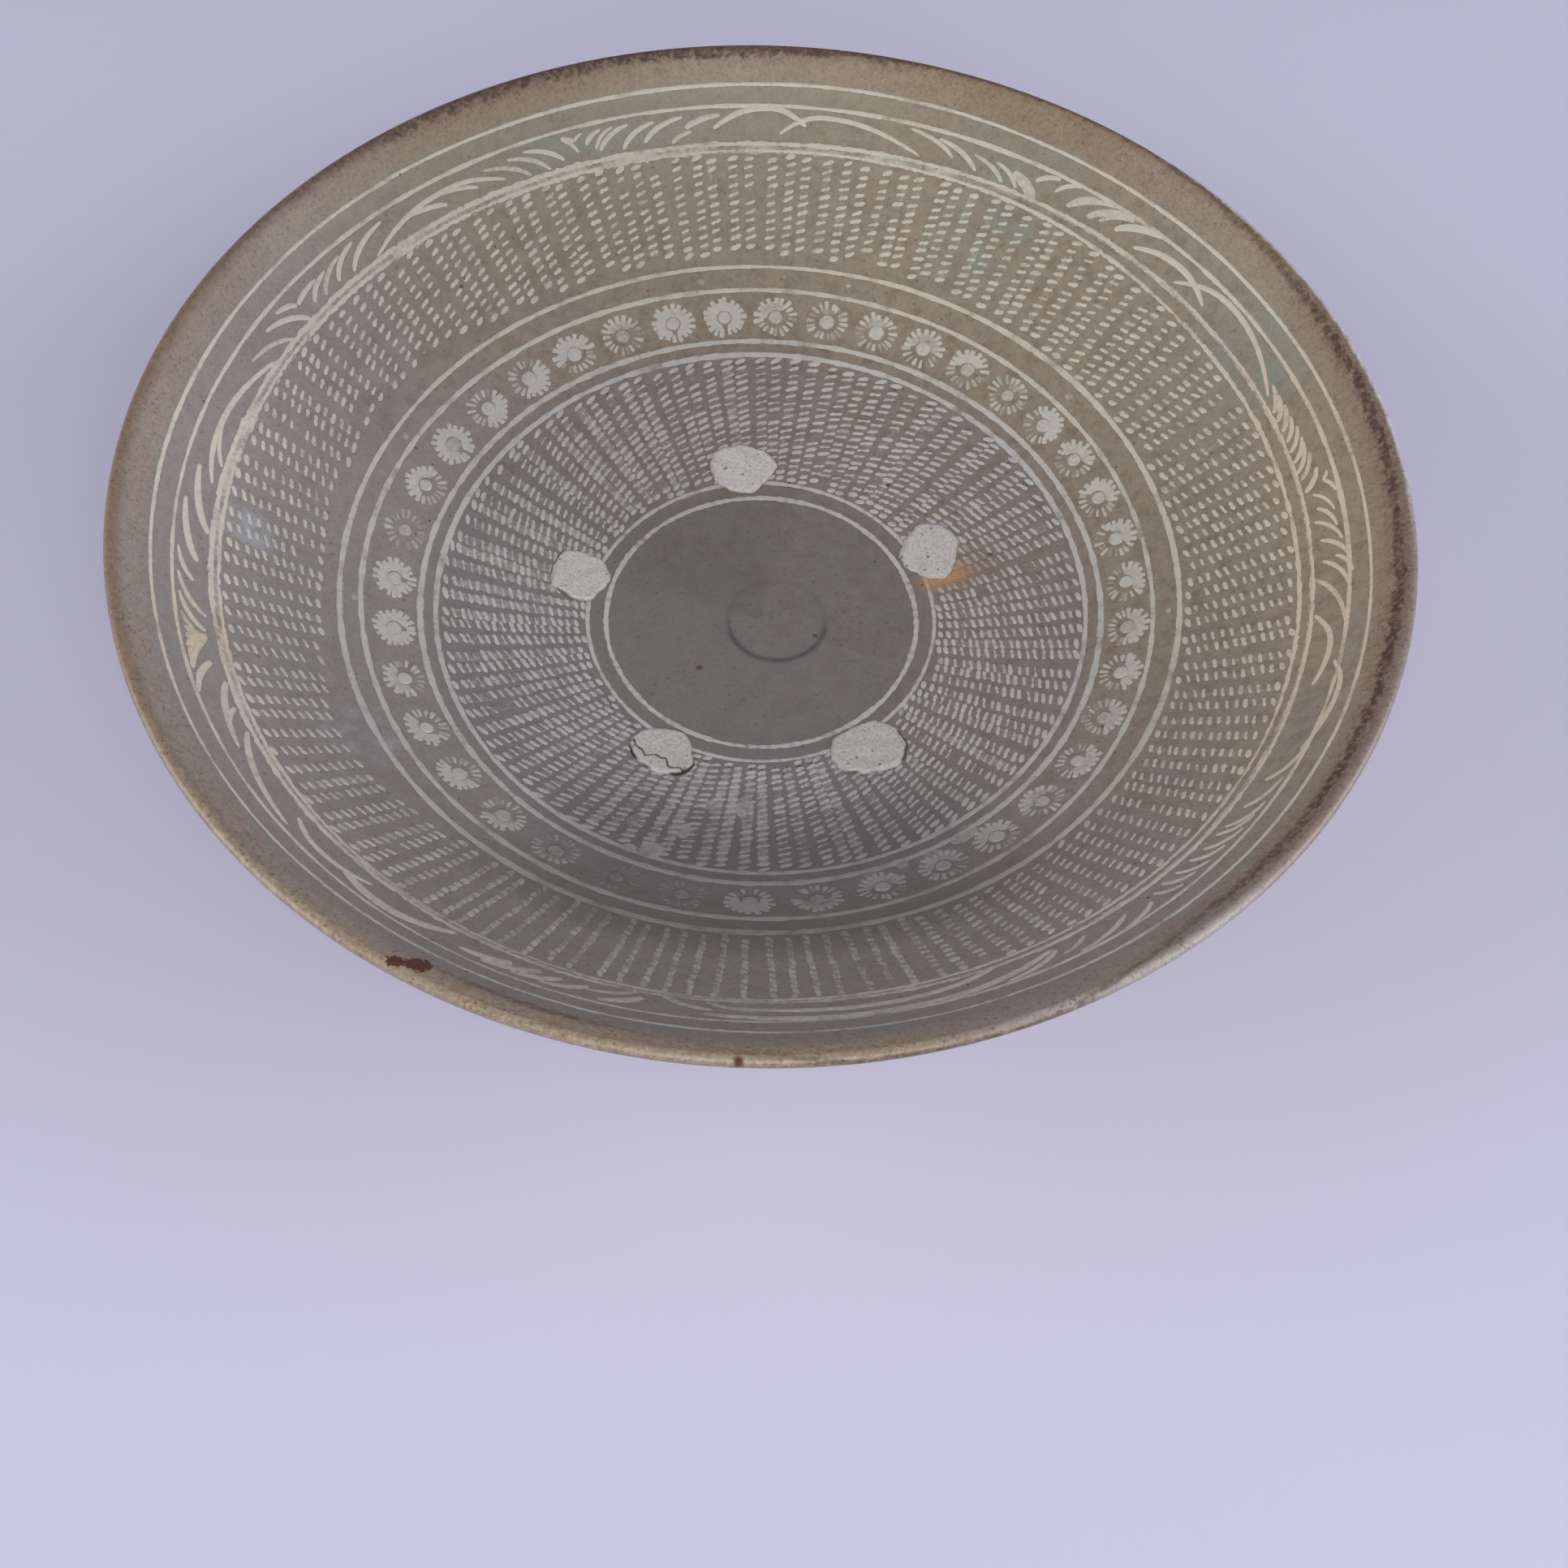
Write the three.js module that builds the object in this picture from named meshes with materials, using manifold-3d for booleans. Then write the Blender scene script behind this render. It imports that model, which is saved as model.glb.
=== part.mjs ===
// A wheel-thrown stoneware bowl with white slip laid into cuts in its inside.
// Millimetres, +Z up. The origin is the middle of the foot ring's resting face.
// Slip lines fill V-shaped cuts, so each is a wedge, and its cut is that wedge with room round it.

import * as THREE from 'three';
import { mergeVertices } from 'three/addons/utils/BufferGeometryUtils.js';
import Module from 'manifold-3d';

const wasm = await Module();
wasm.setup();

// Thrown and turned clay
const rimRadius = 125;
const bowlHeight = 65;
const lipThickness = 3.4;
const wallThicknessAtFoot = 7.5;
const floorThickness = 8;
const flatRadius = 27.5;
const footRadius = 40;
const footWidth = 6;
const footHeight = 10;
const footEdge = 0.8;
const footTaper = 1.5;
const footShoulder = 3;

// Ring lines, as plan distances from the lip inwards, and the two lines round the flat centre
const lipMargin = 8.1;
const doubleLineGap = 3.3;
const grassWidth = 6.1;
const curtainLineGap = 2.2;
const outerCurtainWidth = 20.3;
const plainBandWidth = 4.5;
const flowerMargin = 0.85;
const flowerLineGap = 3;
const wellLineRadius = 36.3;
const wellLineGap = 3.8;

// Slip in its cuts
const lineWidth = 1.2;
const lineDepth = 1;
const clearance = 0.25;
const cutOpening = 0.5;

// Cord-impressed curtains: a tooth stands for three or four neighbouring cord columns
const outerTeeth = 52;
const innerTeeth = 26;
const toothWidth = 2;
const toothDepth = 0.9;
const curtainEndGap = 2.3;

// Grass frieze: tufts whose blades spread from one point, with a low arch between each two tufts
const tuftCount = 7;
const firstTuftAngle = 5.5;
const bladesPerSide = 3;
const bladePitch = 8;
const bladeLean = 7;
const bladeWidth = 1;
const bladeTipGap = 1.9;
const archSpan = 34;

// Stamped flowers, a little closer together on one side, as the hand drifted round the bowl
const flowerCount = 39;
const flowerDiameter = 8.8;
const flowerDepth = 1.3;
const petalCount = 14;
const petalNotch = 0.74;
const pocketSides = 8;
const firstFlowerAngle = -0.6;
const flowerDrift = 3.9;
const flowerDriftPhase = 41;

// Pads of stacking clay, left where the foot of the bowl above stood
const padAngles = [27, 97, 167.7, 242, 304.5];
const padDiameter = 13;
const padTopDiameter = 9.6;
const padHeight = 0.9;
const padLift = 0.45;
const padUnevenness = 0.045;
const padSides = 14;

const turnSteps = 36;
const outsideSteps = 4;

const degrees = Math.PI / 180;
const wellFloor = footHeight + floorThickness;
const lipRadius = lipThickness / 2;

// The inside is flat out to flatRadius and then a parabola, whose slope at the lip follows from its rise
let lipSlope = 45 * degrees;
for (let round = 0; round < 8; round++) {
  const run = rimRadius - lipRadius * (1 + Math.sin(lipSlope)) - flatRadius;
  const rise = bowlHeight - lipRadius * (1 - Math.cos(lipSlope)) - wellFloor;
  lipSlope = Math.atan(2 * rise / run);
}
const wellEdge = rimRadius - lipRadius * (1 + Math.sin(lipSlope));
const wellCurve = Math.tan(lipSlope) / (2 * (wellEdge - flatRadius));
const wellHeight = (r) => wellFloor + wellCurve * Math.max(0, r - flatRadius) ** 2;
const wellSlope = (r) => Math.atan(2 * wellCurve * Math.max(0, r - flatRadius));

const line1 = rimRadius - lipMargin;
const line2 = line1 - doubleLineGap;
const line3 = line2 - grassWidth;
const line4 = line3 - curtainLineGap;
const line5 = line4 - outerCurtainWidth;
const line6 = line5 - plainBandWidth;
const line7 = line6 - flowerDiameter - 2 * flowerMargin;
const line8 = line7 - flowerLineGap;
const line9 = wellLineRadius;
const line10 = line9 - wellLineGap;
const flowerRadius = (line6 + line7) / 2;

// Fired clay, slip and stacking clay, in their colours under the glaze
const clay = new THREE.MeshStandardMaterial({ color: 0x7d756b, roughness: 0.35, metalness: 0 });
const slip = new THREE.MeshStandardMaterial({ color: 0xc9c5b6, roughness: 0.4, metalness: 0 });
const stackingClay = new THREE.MeshStandardMaterial({ color: 0xb9b3b0, roughness: 0.9, metalness: 0 });

const bowl = new THREE.Group();

function addPiece(name, geometry, material) {
  const mesh = new THREE.Mesh(geometry, material);
  mesh.name = name;
  bowl.add(mesh);
}

function toSolid(geometry) {
  const bare = geometry.clone();
  bare.deleteAttribute('normal');
  bare.deleteAttribute('uv');
  const merged = mergeVertices(bare, 1e-4);
  const vertProperties = new Float32Array(merged.attributes.position.array);
  const triVerts = new Uint32Array(merged.index.array);
  return new wasm.Manifold(new wasm.Mesh({ numProp: 3, vertProperties, triVerts }));
}

function toGeometry(solid) {
  const { vertProperties, triVerts } = solid.getMesh();
  const geometry = new THREE.BufferGeometry();
  geometry.setAttribute('position', new THREE.BufferAttribute(new Float32Array(vertProperties), 3));
  geometry.setIndex(new THREE.BufferAttribute(new Uint32Array(triVerts), 1));
  geometry.computeVertexNormals();
  return geometry;
}

function fromFaces(points, faces) {
  const geometry = new THREE.BufferGeometry();
  const positions = points.flatMap((point) => point.toArray());
  geometry.setAttribute('position', new THREE.Float32BufferAttribute(positions, 3));
  geometry.setIndex(faces.flat());
  geometry.computeVertexNormals();
  return geometry;
}

const joined = (solids) => solids.reduce((all, solid) => all.add(solid));

// A closed outline of [radius, height] points turned about +Z. It runs up the outside.
function turned(outline) {
  const points = outline.map(([r, z]) => new THREE.Vector2(r, z));
  return new THREE.LatheGeometry(points, turnSteps).rotateX(Math.PI / 2);
}

// The point of the inside at a plan radius and an angle, moved off the surface by lift along its normal
function onWell(r, angle, lift = 0) {
  const slope = wellSlope(r);
  const reach = r - lift * Math.sin(slope);
  const height = wellHeight(r) + lift * Math.cos(slope);
  return new THREE.Vector3(reach * Math.cos(angle * degrees), reach * Math.sin(angle * degrees), height);
}

// The degrees that a length along the circle of radius r takes
const arc = (length, r) => length / r / degrees;

// A wedge along stations [radius, angle, width] of the inside. A station of no width is a point.
function wedge(stations, depth, lift = 0) {
  const points = [];
  const rows = stations.map(([r, angle, width], i) => {
    const before = stations[Math.max(0, i - 1)];
    const after = stations[Math.min(stations.length - 1, i + 1)];
    const along = new THREE.Vector2(after[0] - before[0], (after[1] - before[1]) * degrees * r);
    along.setLength(width / 2);
    const first = points.length;
    if (width === 0) {
      points.push(onWell(r, angle, lift));
      return [first, first, first];
    }
    points.push(onWell(r - along.y, angle + arc(along.x, r), lift));
    points.push(onWell(r, angle, -depth));
    points.push(onWell(r + along.y, angle - arc(along.x, r), lift));
    return [first, first + 1, first + 2];
  });
  const faces = [];
  const addFace = (...corners) => {
    if (new Set(corners).size === 3) faces.push(corners);
  };
  for (let i = 1; i < rows.length; i++) {
    const [here, next] = [rows[i - 1], rows[i]];
    for (const [p, q] of [[0, 1], [1, 2], [2, 0]]) {
      addFace(here[p], next[q], here[q]);
      addFace(here[p], next[p], next[q]);
    }
  }
  const [start, end] = [rows[0], rows[rows.length - 1]];
  addFace(start[0], start[1], start[2]);
  addFace(end[0], end[2], end[1]);
  return toSolid(fromFaces(points, faces));
}

// How much wider on each side and deeper the cut for a wedge is, so that its walls clear the slip
function cutRoom(width, depth) {
  const wall = Math.hypot(width / 2, depth);
  return { side: clearance * wall / depth, below: clearance * wall / (width / 2) };
}

// A station moved outwards from its neighbour by the clearance
function pastEnd([r, angle, width], neighbour) {
  const along = new THREE.Vector2(r - neighbour[0], (angle - neighbour[1]) * degrees * r);
  along.setLength(clearance);
  return [r + along.x, angle + arc(along.y, r), width];
}

// The cut for a wedge whose widest station has the given width. It is open above the surface.
function wedgeCut(stations, width, depth) {
  const room = cutRoom(width, depth);
  const cutDepth = depth + room.below;
  const opening = (cutDepth + cutOpening) / cutDepth;
  const grown = stations.map(([r, angle, w]) => [r, angle, (w + 2 * room.side) * opening]);
  const last = grown.length - 1;
  const [start, end] = [pastEnd(grown[0], grown[1]), pastEnd(grown[last], grown[last - 1])];
  return wedge([start, ...grown.slice(1, last), end], cutDepth, cutOpening);
}

// Ring lines: the corners of a wedge section at a radius
function ringSection(r, halfWidth, depth) {
  const slope = wellSlope(r);
  const reach = halfWidth * Math.cos(slope);
  return [
    [r - reach, wellHeight(r - reach)],
    [r + depth * Math.sin(slope), wellHeight(r) - depth * Math.cos(slope)],
    [r + reach, wellHeight(r + reach)],
  ];
}

function ringLine(r) {
  const [inner, bottom, outer] = ringSection(r, lineWidth / 2, lineDepth);
  return turned([inner, bottom, outer, inner]);
}

// Curtains: teeth that run down the wall from their ring line towards the next line
function curtainTeeth(line, end, count, rows) {
  const root = line - lineWidth / 4;
  return Array.from({ length: count }, (_, i) => {
    const angle = 360 * (i + 0.5) / count;
    return [root, ...rows, end].map((r) => [r, angle, toothWidth]);
  });
}

const curtainMiddle = (line8 + line9) / 2;
const outerCurtain = curtainTeeth(line4, line5 + curtainEndGap, outerTeeth, []);
const innerCurtain = curtainTeeth(line8, line9 + curtainEndGap, innerTeeth, [curtainMiddle]);

// Grass: blades and arches rise from line 3 towards line 2
const grassTop = line2 - bladeTipGap;

function grassBlade(foot, lean) {
  return [[line3, foot, bladeWidth], [grassTop, foot + arc(lean, line3), 0]];
}

function grassArch(middle) {
  return [-1, -0.4, 0.4, 1].map((share) => {
    const r = THREE.MathUtils.lerp(grassTop, line3, share ** 2);
    return [r, middle + arc(archSpan / 2 * share, line3), bladeWidth];
  });
}

const grass = [];
for (let tuft = 0; tuft < tuftCount; tuft++) {
  const point = firstTuftAngle + 360 * tuft / tuftCount;
  for (let blade = 0; blade < bladesPerSide; blade++) {
    const away = arc(bladePitch * (blade + 0.5), line3);
    grass.push(grassBlade(point - away, -bladeLean), grassBlade(point + away, bladeLean));
  }
  grass.push(grassArch(point + 180 / tuftCount));
}

// A ring line and the marks that grow from it are one piece of slip
function lineWithMarks(r, marks, depth) {
  const ring = toSolid(ringLine(r));
  return toGeometry(joined([ring, ...marks.map((stations) => wedge(stations, depth))]));
}

// Points round a centre on the inside, one at each of the given distances from it
function outlineOnWell(centre, angle, distances, lift) {
  return distances.map((distance, i) => {
    const turn = 2 * Math.PI * (i + 0.5) / distances.length;
    const r = centre + distance * Math.cos(turn) * Math.cos(wellSlope(centre));
    return onWell(r, angle + arc(distance * Math.sin(turn), centre), lift);
  });
}

// A flower is a star on the surface that narrows to one point below it
function flower(angle) {
  const tip = flowerDiameter / 2;
  const radii = Array.from({ length: 2 * petalCount }, (_, i) => (i % 2 ? petalNotch * tip : tip));
  const points = [
    onWell(flowerRadius, angle),
    onWell(flowerRadius, angle, -flowerDepth),
    ...outlineOnWell(flowerRadius, angle, radii, 0),
  ];
  const faces = radii.flatMap((_, i) => {
    const [here, next] = [2 + i, 2 + (i + 1) % radii.length];
    return [[0, here, next], [1, next, here]];
  });
  return fromFaces(points, faces);
}

// A flat cake between two outlines at two lifts over the inside
function cake(centre, angle, [lowRadii, lowLift], [highRadii, highLift]) {
  const sides = lowRadii.length;
  const points = [
    onWell(centre, angle, lowLift),
    onWell(centre, angle, highLift),
    ...outlineOnWell(centre, angle, lowRadii, lowLift),
    ...outlineOnWell(centre, angle, highRadii, highLift),
  ];
  const faces = lowRadii.flatMap((_, i) => {
    const [low, nextLow] = [2 + i, 2 + (i + 1) % sides];
    const [high, nextHigh] = [low + sides, nextLow + sides];
    return [[0, nextLow, low], [1, high, nextHigh], [low, nextLow, nextHigh], [low, nextHigh, high]];
  });
  return fromFaces(points, faces);
}

function flowerPocket(angle) {
  const radius = (flowerDiameter / 2 + clearance) / Math.cos(Math.PI / pocketSides);
  const radii = Array(pocketSides).fill(radius);
  return toSolid(cake(flowerRadius, angle, [radii, -flowerDepth - clearance], [radii, cutOpening]));
}

const flowerAngles = Array.from({ length: flowerCount }, (_, i) => {
  const even = 360 * i / flowerCount;
  return even + firstFlowerAngle + flowerDrift * Math.cos((even + flowerDriftPhase) * degrees);
});

// Pads: low uneven cakes of clay that lie just clear of the surface
function stackingPad(angle) {
  const uneven = Array.from({ length: padSides }, (_, i) => {
    const turn = 2 * Math.PI * i / padSides;
    return 1 + padUnevenness * (Math.sin(3 * turn + angle) + Math.cos(5 * turn + 2 * angle));
  });
  const low = uneven.map((share) => padDiameter / 2 * share);
  const high = uneven.map((share) => padTopDiameter / 2 * share);
  return cake(footRadius, angle, [low, padLift], [high, padLift + padHeight]);
}

// Body: the inside with its ring cuts, the round lip, the outside and the foot ring
const lineRoom = cutRoom(lineWidth, lineDepth);
const lines = [line1, line2, line3, line4, line5, line6, line7, line8, line9, line10];
const lineCuts = lines.map((r) => ringSection(r, lineWidth / 2 + lineRoom.side, lineDepth + lineRoom.below));
const plainRows = [flatRadius, curtainMiddle].map((r) => [[r, wellHeight(r)]]);
const inside = [...lineCuts, ...plainRows].sort((a, b) => a[0][0] - b[0][0]).flat();

const quarter = Math.PI / 2;
const lip = [quarter + lipSlope, quarter, quarter / 2, 0, lipSlope - quarter].map((turn) => [
  rimRadius - lipRadius + lipRadius * Math.cos(turn),
  bowlHeight - lipRadius + lipRadius * Math.sin(turn),
]);

const footOuter = footRadius + footWidth / 2;
const footInner = footRadius - footWidth / 2;
const outside = Array.from({ length: outsideSteps }, (_, i) => {
  const share = 1 - (i + 1) / outsideSteps;
  const r = THREE.MathUtils.lerp(footOuter + footShoulder, wellEdge, share);
  const thickness = THREE.MathUtils.lerp(wallThicknessAtFoot, lipThickness, share);
  const slope = wellSlope(r);
  return [r + thickness * Math.sin(slope), wellHeight(r) - thickness * Math.cos(slope)];
});
const shoulderHeight = outside[outside.length - 1][1];

const foot = [
  [footOuter, shoulderHeight - footTaper],
  [footOuter, footEdge],
  [footOuter - footEdge, 0],
  [footInner + footEdge, 0],
  [footInner, footEdge],
  [footInner - footTaper, footHeight],
  [0, footHeight],
];

const thrownClay = toSolid(turned([[0, wellFloor], ...inside, ...lip, ...outside, ...foot].reverse()));

const cuts = joined([
  ...[...outerCurtain, ...innerCurtain].map((stations) => wedgeCut(stations, toothWidth, toothDepth)),
  ...grass.map((stations) => wedgeCut(stations, bladeWidth, lineDepth)),
  ...flowerAngles.map(flowerPocket),
]);

const twoDigits = (index) => String(index + 1).padStart(2, '0');

addPiece('stoneware_body', toGeometry(thrownClay.subtract(cuts)), clay);
addPiece('line_1', ringLine(line1), slip);
addPiece('line_2', ringLine(line2), slip);
addPiece('grass_frieze', lineWithMarks(line3, grass, lineDepth), slip);
addPiece('outer_curtain', lineWithMarks(line4, outerCurtain, toothDepth), slip);
addPiece('line_5', ringLine(line5), slip);
addPiece('line_6', ringLine(line6), slip);
flowerAngles.forEach((angle, i) => addPiece(`flower_${twoDigits(i)}`, flower(angle), slip));
addPiece('line_7', ringLine(line7), slip);
addPiece('inner_curtain', lineWithMarks(line8, innerCurtain, toothDepth), slip);
addPiece('line_9', ringLine(line9), slip);
addPiece('line_10', ringLine(line10), slip);
padAngles.forEach((angle, i) => addPiece(`spur_pad_${i + 1}`, stackingPad(angle), stackingClay));

export default bowl;
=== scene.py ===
"""A wheel-thrown stoneware bowl with white slip laid into its inside, under a grey-brown glaze.

Lengths are millimetres and angles are degrees, until a mesh is written, which is in metres.
"""

import math

import bpy
import numpy as np
from mathutils import Matrix, Vector


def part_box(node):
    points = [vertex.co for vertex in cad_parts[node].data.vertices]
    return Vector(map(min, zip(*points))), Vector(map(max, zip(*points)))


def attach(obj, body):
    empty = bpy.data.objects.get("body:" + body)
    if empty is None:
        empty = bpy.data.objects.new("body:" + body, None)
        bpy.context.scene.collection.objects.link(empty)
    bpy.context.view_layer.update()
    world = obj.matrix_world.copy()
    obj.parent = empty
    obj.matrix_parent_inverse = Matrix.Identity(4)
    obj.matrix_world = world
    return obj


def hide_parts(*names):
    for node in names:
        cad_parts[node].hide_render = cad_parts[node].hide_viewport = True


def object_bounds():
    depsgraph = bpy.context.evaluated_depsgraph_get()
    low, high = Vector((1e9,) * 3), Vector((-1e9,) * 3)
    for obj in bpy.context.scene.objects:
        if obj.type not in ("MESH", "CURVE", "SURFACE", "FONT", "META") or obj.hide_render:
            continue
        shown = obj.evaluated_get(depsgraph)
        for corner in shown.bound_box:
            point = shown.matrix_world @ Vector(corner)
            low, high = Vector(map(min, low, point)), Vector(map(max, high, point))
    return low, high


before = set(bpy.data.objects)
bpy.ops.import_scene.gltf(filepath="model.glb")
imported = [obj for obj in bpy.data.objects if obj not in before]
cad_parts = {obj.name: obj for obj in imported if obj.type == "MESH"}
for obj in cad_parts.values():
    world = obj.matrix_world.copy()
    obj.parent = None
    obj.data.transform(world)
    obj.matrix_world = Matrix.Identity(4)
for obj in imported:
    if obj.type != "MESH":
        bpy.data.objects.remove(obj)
cad_low, cad_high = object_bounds()

MM = 0.001
BODY = "root"

# The turned clay
RIM_RADIUS = (cad_high.x - cad_low.x) / 2 / MM
RIM_HEIGHT = cad_high.z / MM
LIP_THICKNESS = 2.4
WALL_AT_FOOT = 7.5
UNDERSIDE = 10.0
FOOT_OUTER = 43.0
FOOT_INNER = 37.0
FOOT_TAPER = 1.5
FOOT_EDGE = 0.9
SHOULDER_RADIUS = 46.0

# How steep the inside is: rise for each millimetre of plan radius, at a few radii
SLOPE_RADII = [0, 27, 36, 60, 85, 100, 112, 123]
SLOPES = [0.0, 0.04, 0.17, 0.29, 0.62, 0.73, 0.78, 0.98]

# What throwing leaves on the wall: a spiral ripple, and a lip that isn't quite level or round. Turning
# leaves plain ripples outside, given as height and pitch
RIPPLE_HEIGHT = 0.03
RIPPLE_PITCH = 7.5
UNDERSIDE_RIPPLE = (0.08, 3.4)
WALL_RIPPLE = (0.05, 5.2)
UNEVENNESS = 0.1
LIP_SAG = 0.35
OUT_OF_ROUND = 0.0009

# The thrower's mark in the well: a shallow circle beside the middle, deeper on its near side
MARK_OFFSET = 3.3
MARK_RADIUS = 10.3
MARK_WIDTH = 0.55
MARK_DEPTH = 0.06

# Slip stands a hair proud in the middle and its edge is sunk in the clay
SLIP_LIFT = 0.035
SLIP_SINK = 0.03
SLIP_DEPTH = 0.12
SHOWN_SHARE = math.sqrt(SLIP_LIFT / (SLIP_LIFT + SLIP_SINK))

# Points round the body and round a ring line, and rows of points on the body: under it, up the outside,
# over the lip and down the wall. In the well, from radius WELL_EDGE, rows are WELL_STEP apart
AROUND_BODY = 440
AROUND_RING = 900
UNDER_STEPS = 20
WALL_STEPS = 60
LIP_STEPS = 14
INNER_STEPS = 74
WELL_EDGE = 16
WELL_STEP = 0.6


def smooth(value, low, high):
    """0 below low, 1 above high, and a smooth step between."""
    share = np.clip((value - low) / (high - low), 0, 1)
    return share * share * (3 - 2 * share)


def blend(share, first, second):
    return first + (second - first) * share


# The inside's height is the running sum of its slope, and it meets the lip's round section
STEP = 0.05
SOFTENING = 121
TABLE_RADII = np.arange(0, 130, STEP)
raw_slopes = np.interp(np.pad(TABLE_RADII, SOFTENING // 2, mode="edge"), SLOPE_RADII, SLOPES)
TABLE_SLOPES = np.convolve(raw_slopes, np.ones(SOFTENING) / SOFTENING, mode="valid")
LIP_RADIUS = LIP_THICKNESS / 2
LIP_SLOPE = math.atan(SLOPES[-1])
LIP_EDGE = RIM_RADIUS - LIP_RADIUS * (1 + math.sin(LIP_SLOPE))
LIP_EDGE_HEIGHT = RIM_HEIGHT - LIP_RADIUS * (1 - math.cos(LIP_SLOPE))
rises = np.cumsum(TABLE_SLOPES) * STEP
TABLE_HEIGHTS = LIP_EDGE_HEIGHT + rises - np.interp(LIP_EDGE, TABLE_RADII, rises)
TABLE_LENGTHS = np.cumsum(np.hypot(1, TABLE_SLOPES)) * STEP


def well_height(r):
    return np.interp(r, TABLE_RADII, TABLE_HEIGHTS)


def well_slope(r):
    """The tilt of the inside at a plan radius, in radians."""
    return np.arctan(np.interp(r, TABLE_RADII, TABLE_SLOPES))


def slope_length(r):
    """The length along the inside from the middle out to plan radius r."""
    return np.interp(r, TABLE_RADII, TABLE_LENGTHS)


def down_slope(r, length):
    """The plan radius reached by going that length down the inside from radius r."""
    return np.interp(slope_length(r) - length, TABLE_LENGTHS, TABLE_RADII)


def turning(r, height, pitch, shift=0.0):
    """A ripple along the radius, of that height and pitch."""
    return height * np.sin(2 * np.pi * r / pitch + shift)


def ripple(r, turn):
    """How far the inside stands off its plain turned form: two slow waves and the throwing spiral."""
    spiral = turning(r, RIPPLE_HEIGHT, RIPPLE_PITCH, turn)
    waves = UNEVENNESS * (np.sin(2 * turn + 0.6 + r / 30) + 0.7 * np.sin(3 * turn - 1 - r / 22))
    return smooth(r, 6, 25) * (1 - smooth(r, 112, LIP_EDGE)) * (spiral + waves)


def thrower_mark(r, turn):
    """A groove of bell section along a circle that isn't centred, deeper towards the viewer."""
    x = r * np.cos(turn) - MARK_OFFSET
    y = r * np.sin(turn)
    off = (np.hypot(x, y) - MARK_RADIUS) / MARK_WIDTH
    near = blend(smooth(-y / MARK_RADIUS, -0.2, 0.4), 0.2, 1)
    return MARK_DEPTH * near * np.exp(-off * off)


def out_of_true(r, z, turn):
    """A turned point (r, z) at the angle turn, with the lip's sag and the whole bowl a little oval."""
    reach = r * (1 - OUT_OF_ROUND * (0.5 + 0.5 * np.cos(2 * turn - 1.1)))
    sag = LIP_SAG * smooth(r, 60, 125) * (0.5 + 0.5 * np.sin(2 * turn + 0.8 + 0.4 * np.sin(turn)))
    return np.stack([reach * np.cos(turn), reach * np.sin(turn), z - sag], axis=-1)


def on_well(r, angle, lift=0.0):
    """Points at plan radius r and angle, moved off the inside by lift along its normal."""
    turn = np.radians(angle)
    r, turn, lift = np.broadcast_arrays(r, turn, lift)
    slope = well_slope(r)
    off = lift + ripple(r, turn) - thrower_mark(r, turn)
    return out_of_true(r - off * np.sin(slope), well_height(r) + off * np.cos(slope), turn)


def skin_faces(rings, around, copies=1):
    """Faces of closed skins: each has a low pole, rings of points round it, then a high pole."""
    grid = 1 + np.arange(rings * around).reshape(rings, around)
    ahead = np.roll(grid, -1, axis=1)
    last = rings * around + 1
    quads = np.stack([grid[:-1], ahead[:-1], ahead[1:], grid[1:]], axis=-1).reshape(-1, 4)
    low = np.stack([np.zeros(around, int), ahead[0], grid[0]], axis=-1)
    high = np.stack([grid[-1], ahead[-1], np.full(around, last)], axis=-1)
    first = (last + 1) * np.arange(copies).reshape(-1, 1, 1)
    return (first + quads).reshape(-1, 4), (first + np.concatenate([low, high])).reshape(-1, 3)


def hoop_faces(stations, section):
    """Faces of a ring: stations go round the bowl, and each has a closed section."""
    grid = np.arange(stations * section).reshape(stations, section)
    ahead = np.roll(grid, -1, axis=0)
    quads = np.stack([grid, ahead, np.roll(ahead, -1, axis=1), np.roll(grid, -1, axis=1)], axis=-1)
    return quads.reshape(-1, 4), np.zeros((0, 3), int)


class Marks:
    """Slip meshes that are gathered into one piece, with how thickly the slip covers at each point."""

    def __init__(self):
        self.points = []
        self.cover = []
        self.quads = []
        self.triangles = []
        self.count = 0

    def add(self, points, cover, faces):
        quads, triangles = faces
        self.quads.append(quads + self.count)
        self.triangles.append(triangles + self.count)
        self.points.append(points.reshape(-1, 3))
        self.cover.append(np.broadcast_to(cover, points.shape[:-1]).reshape(-1))
        self.count += points.reshape(-1, 3).shape[0]

    def make(self, name, material, nodes):
        cover = np.concatenate(self.cover)
        faces = np.concatenate(self.quads), np.concatenate(self.triangles)
        return add_piece(name, np.concatenate(self.points), faces, material, nodes, {"cover": cover})


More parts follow.
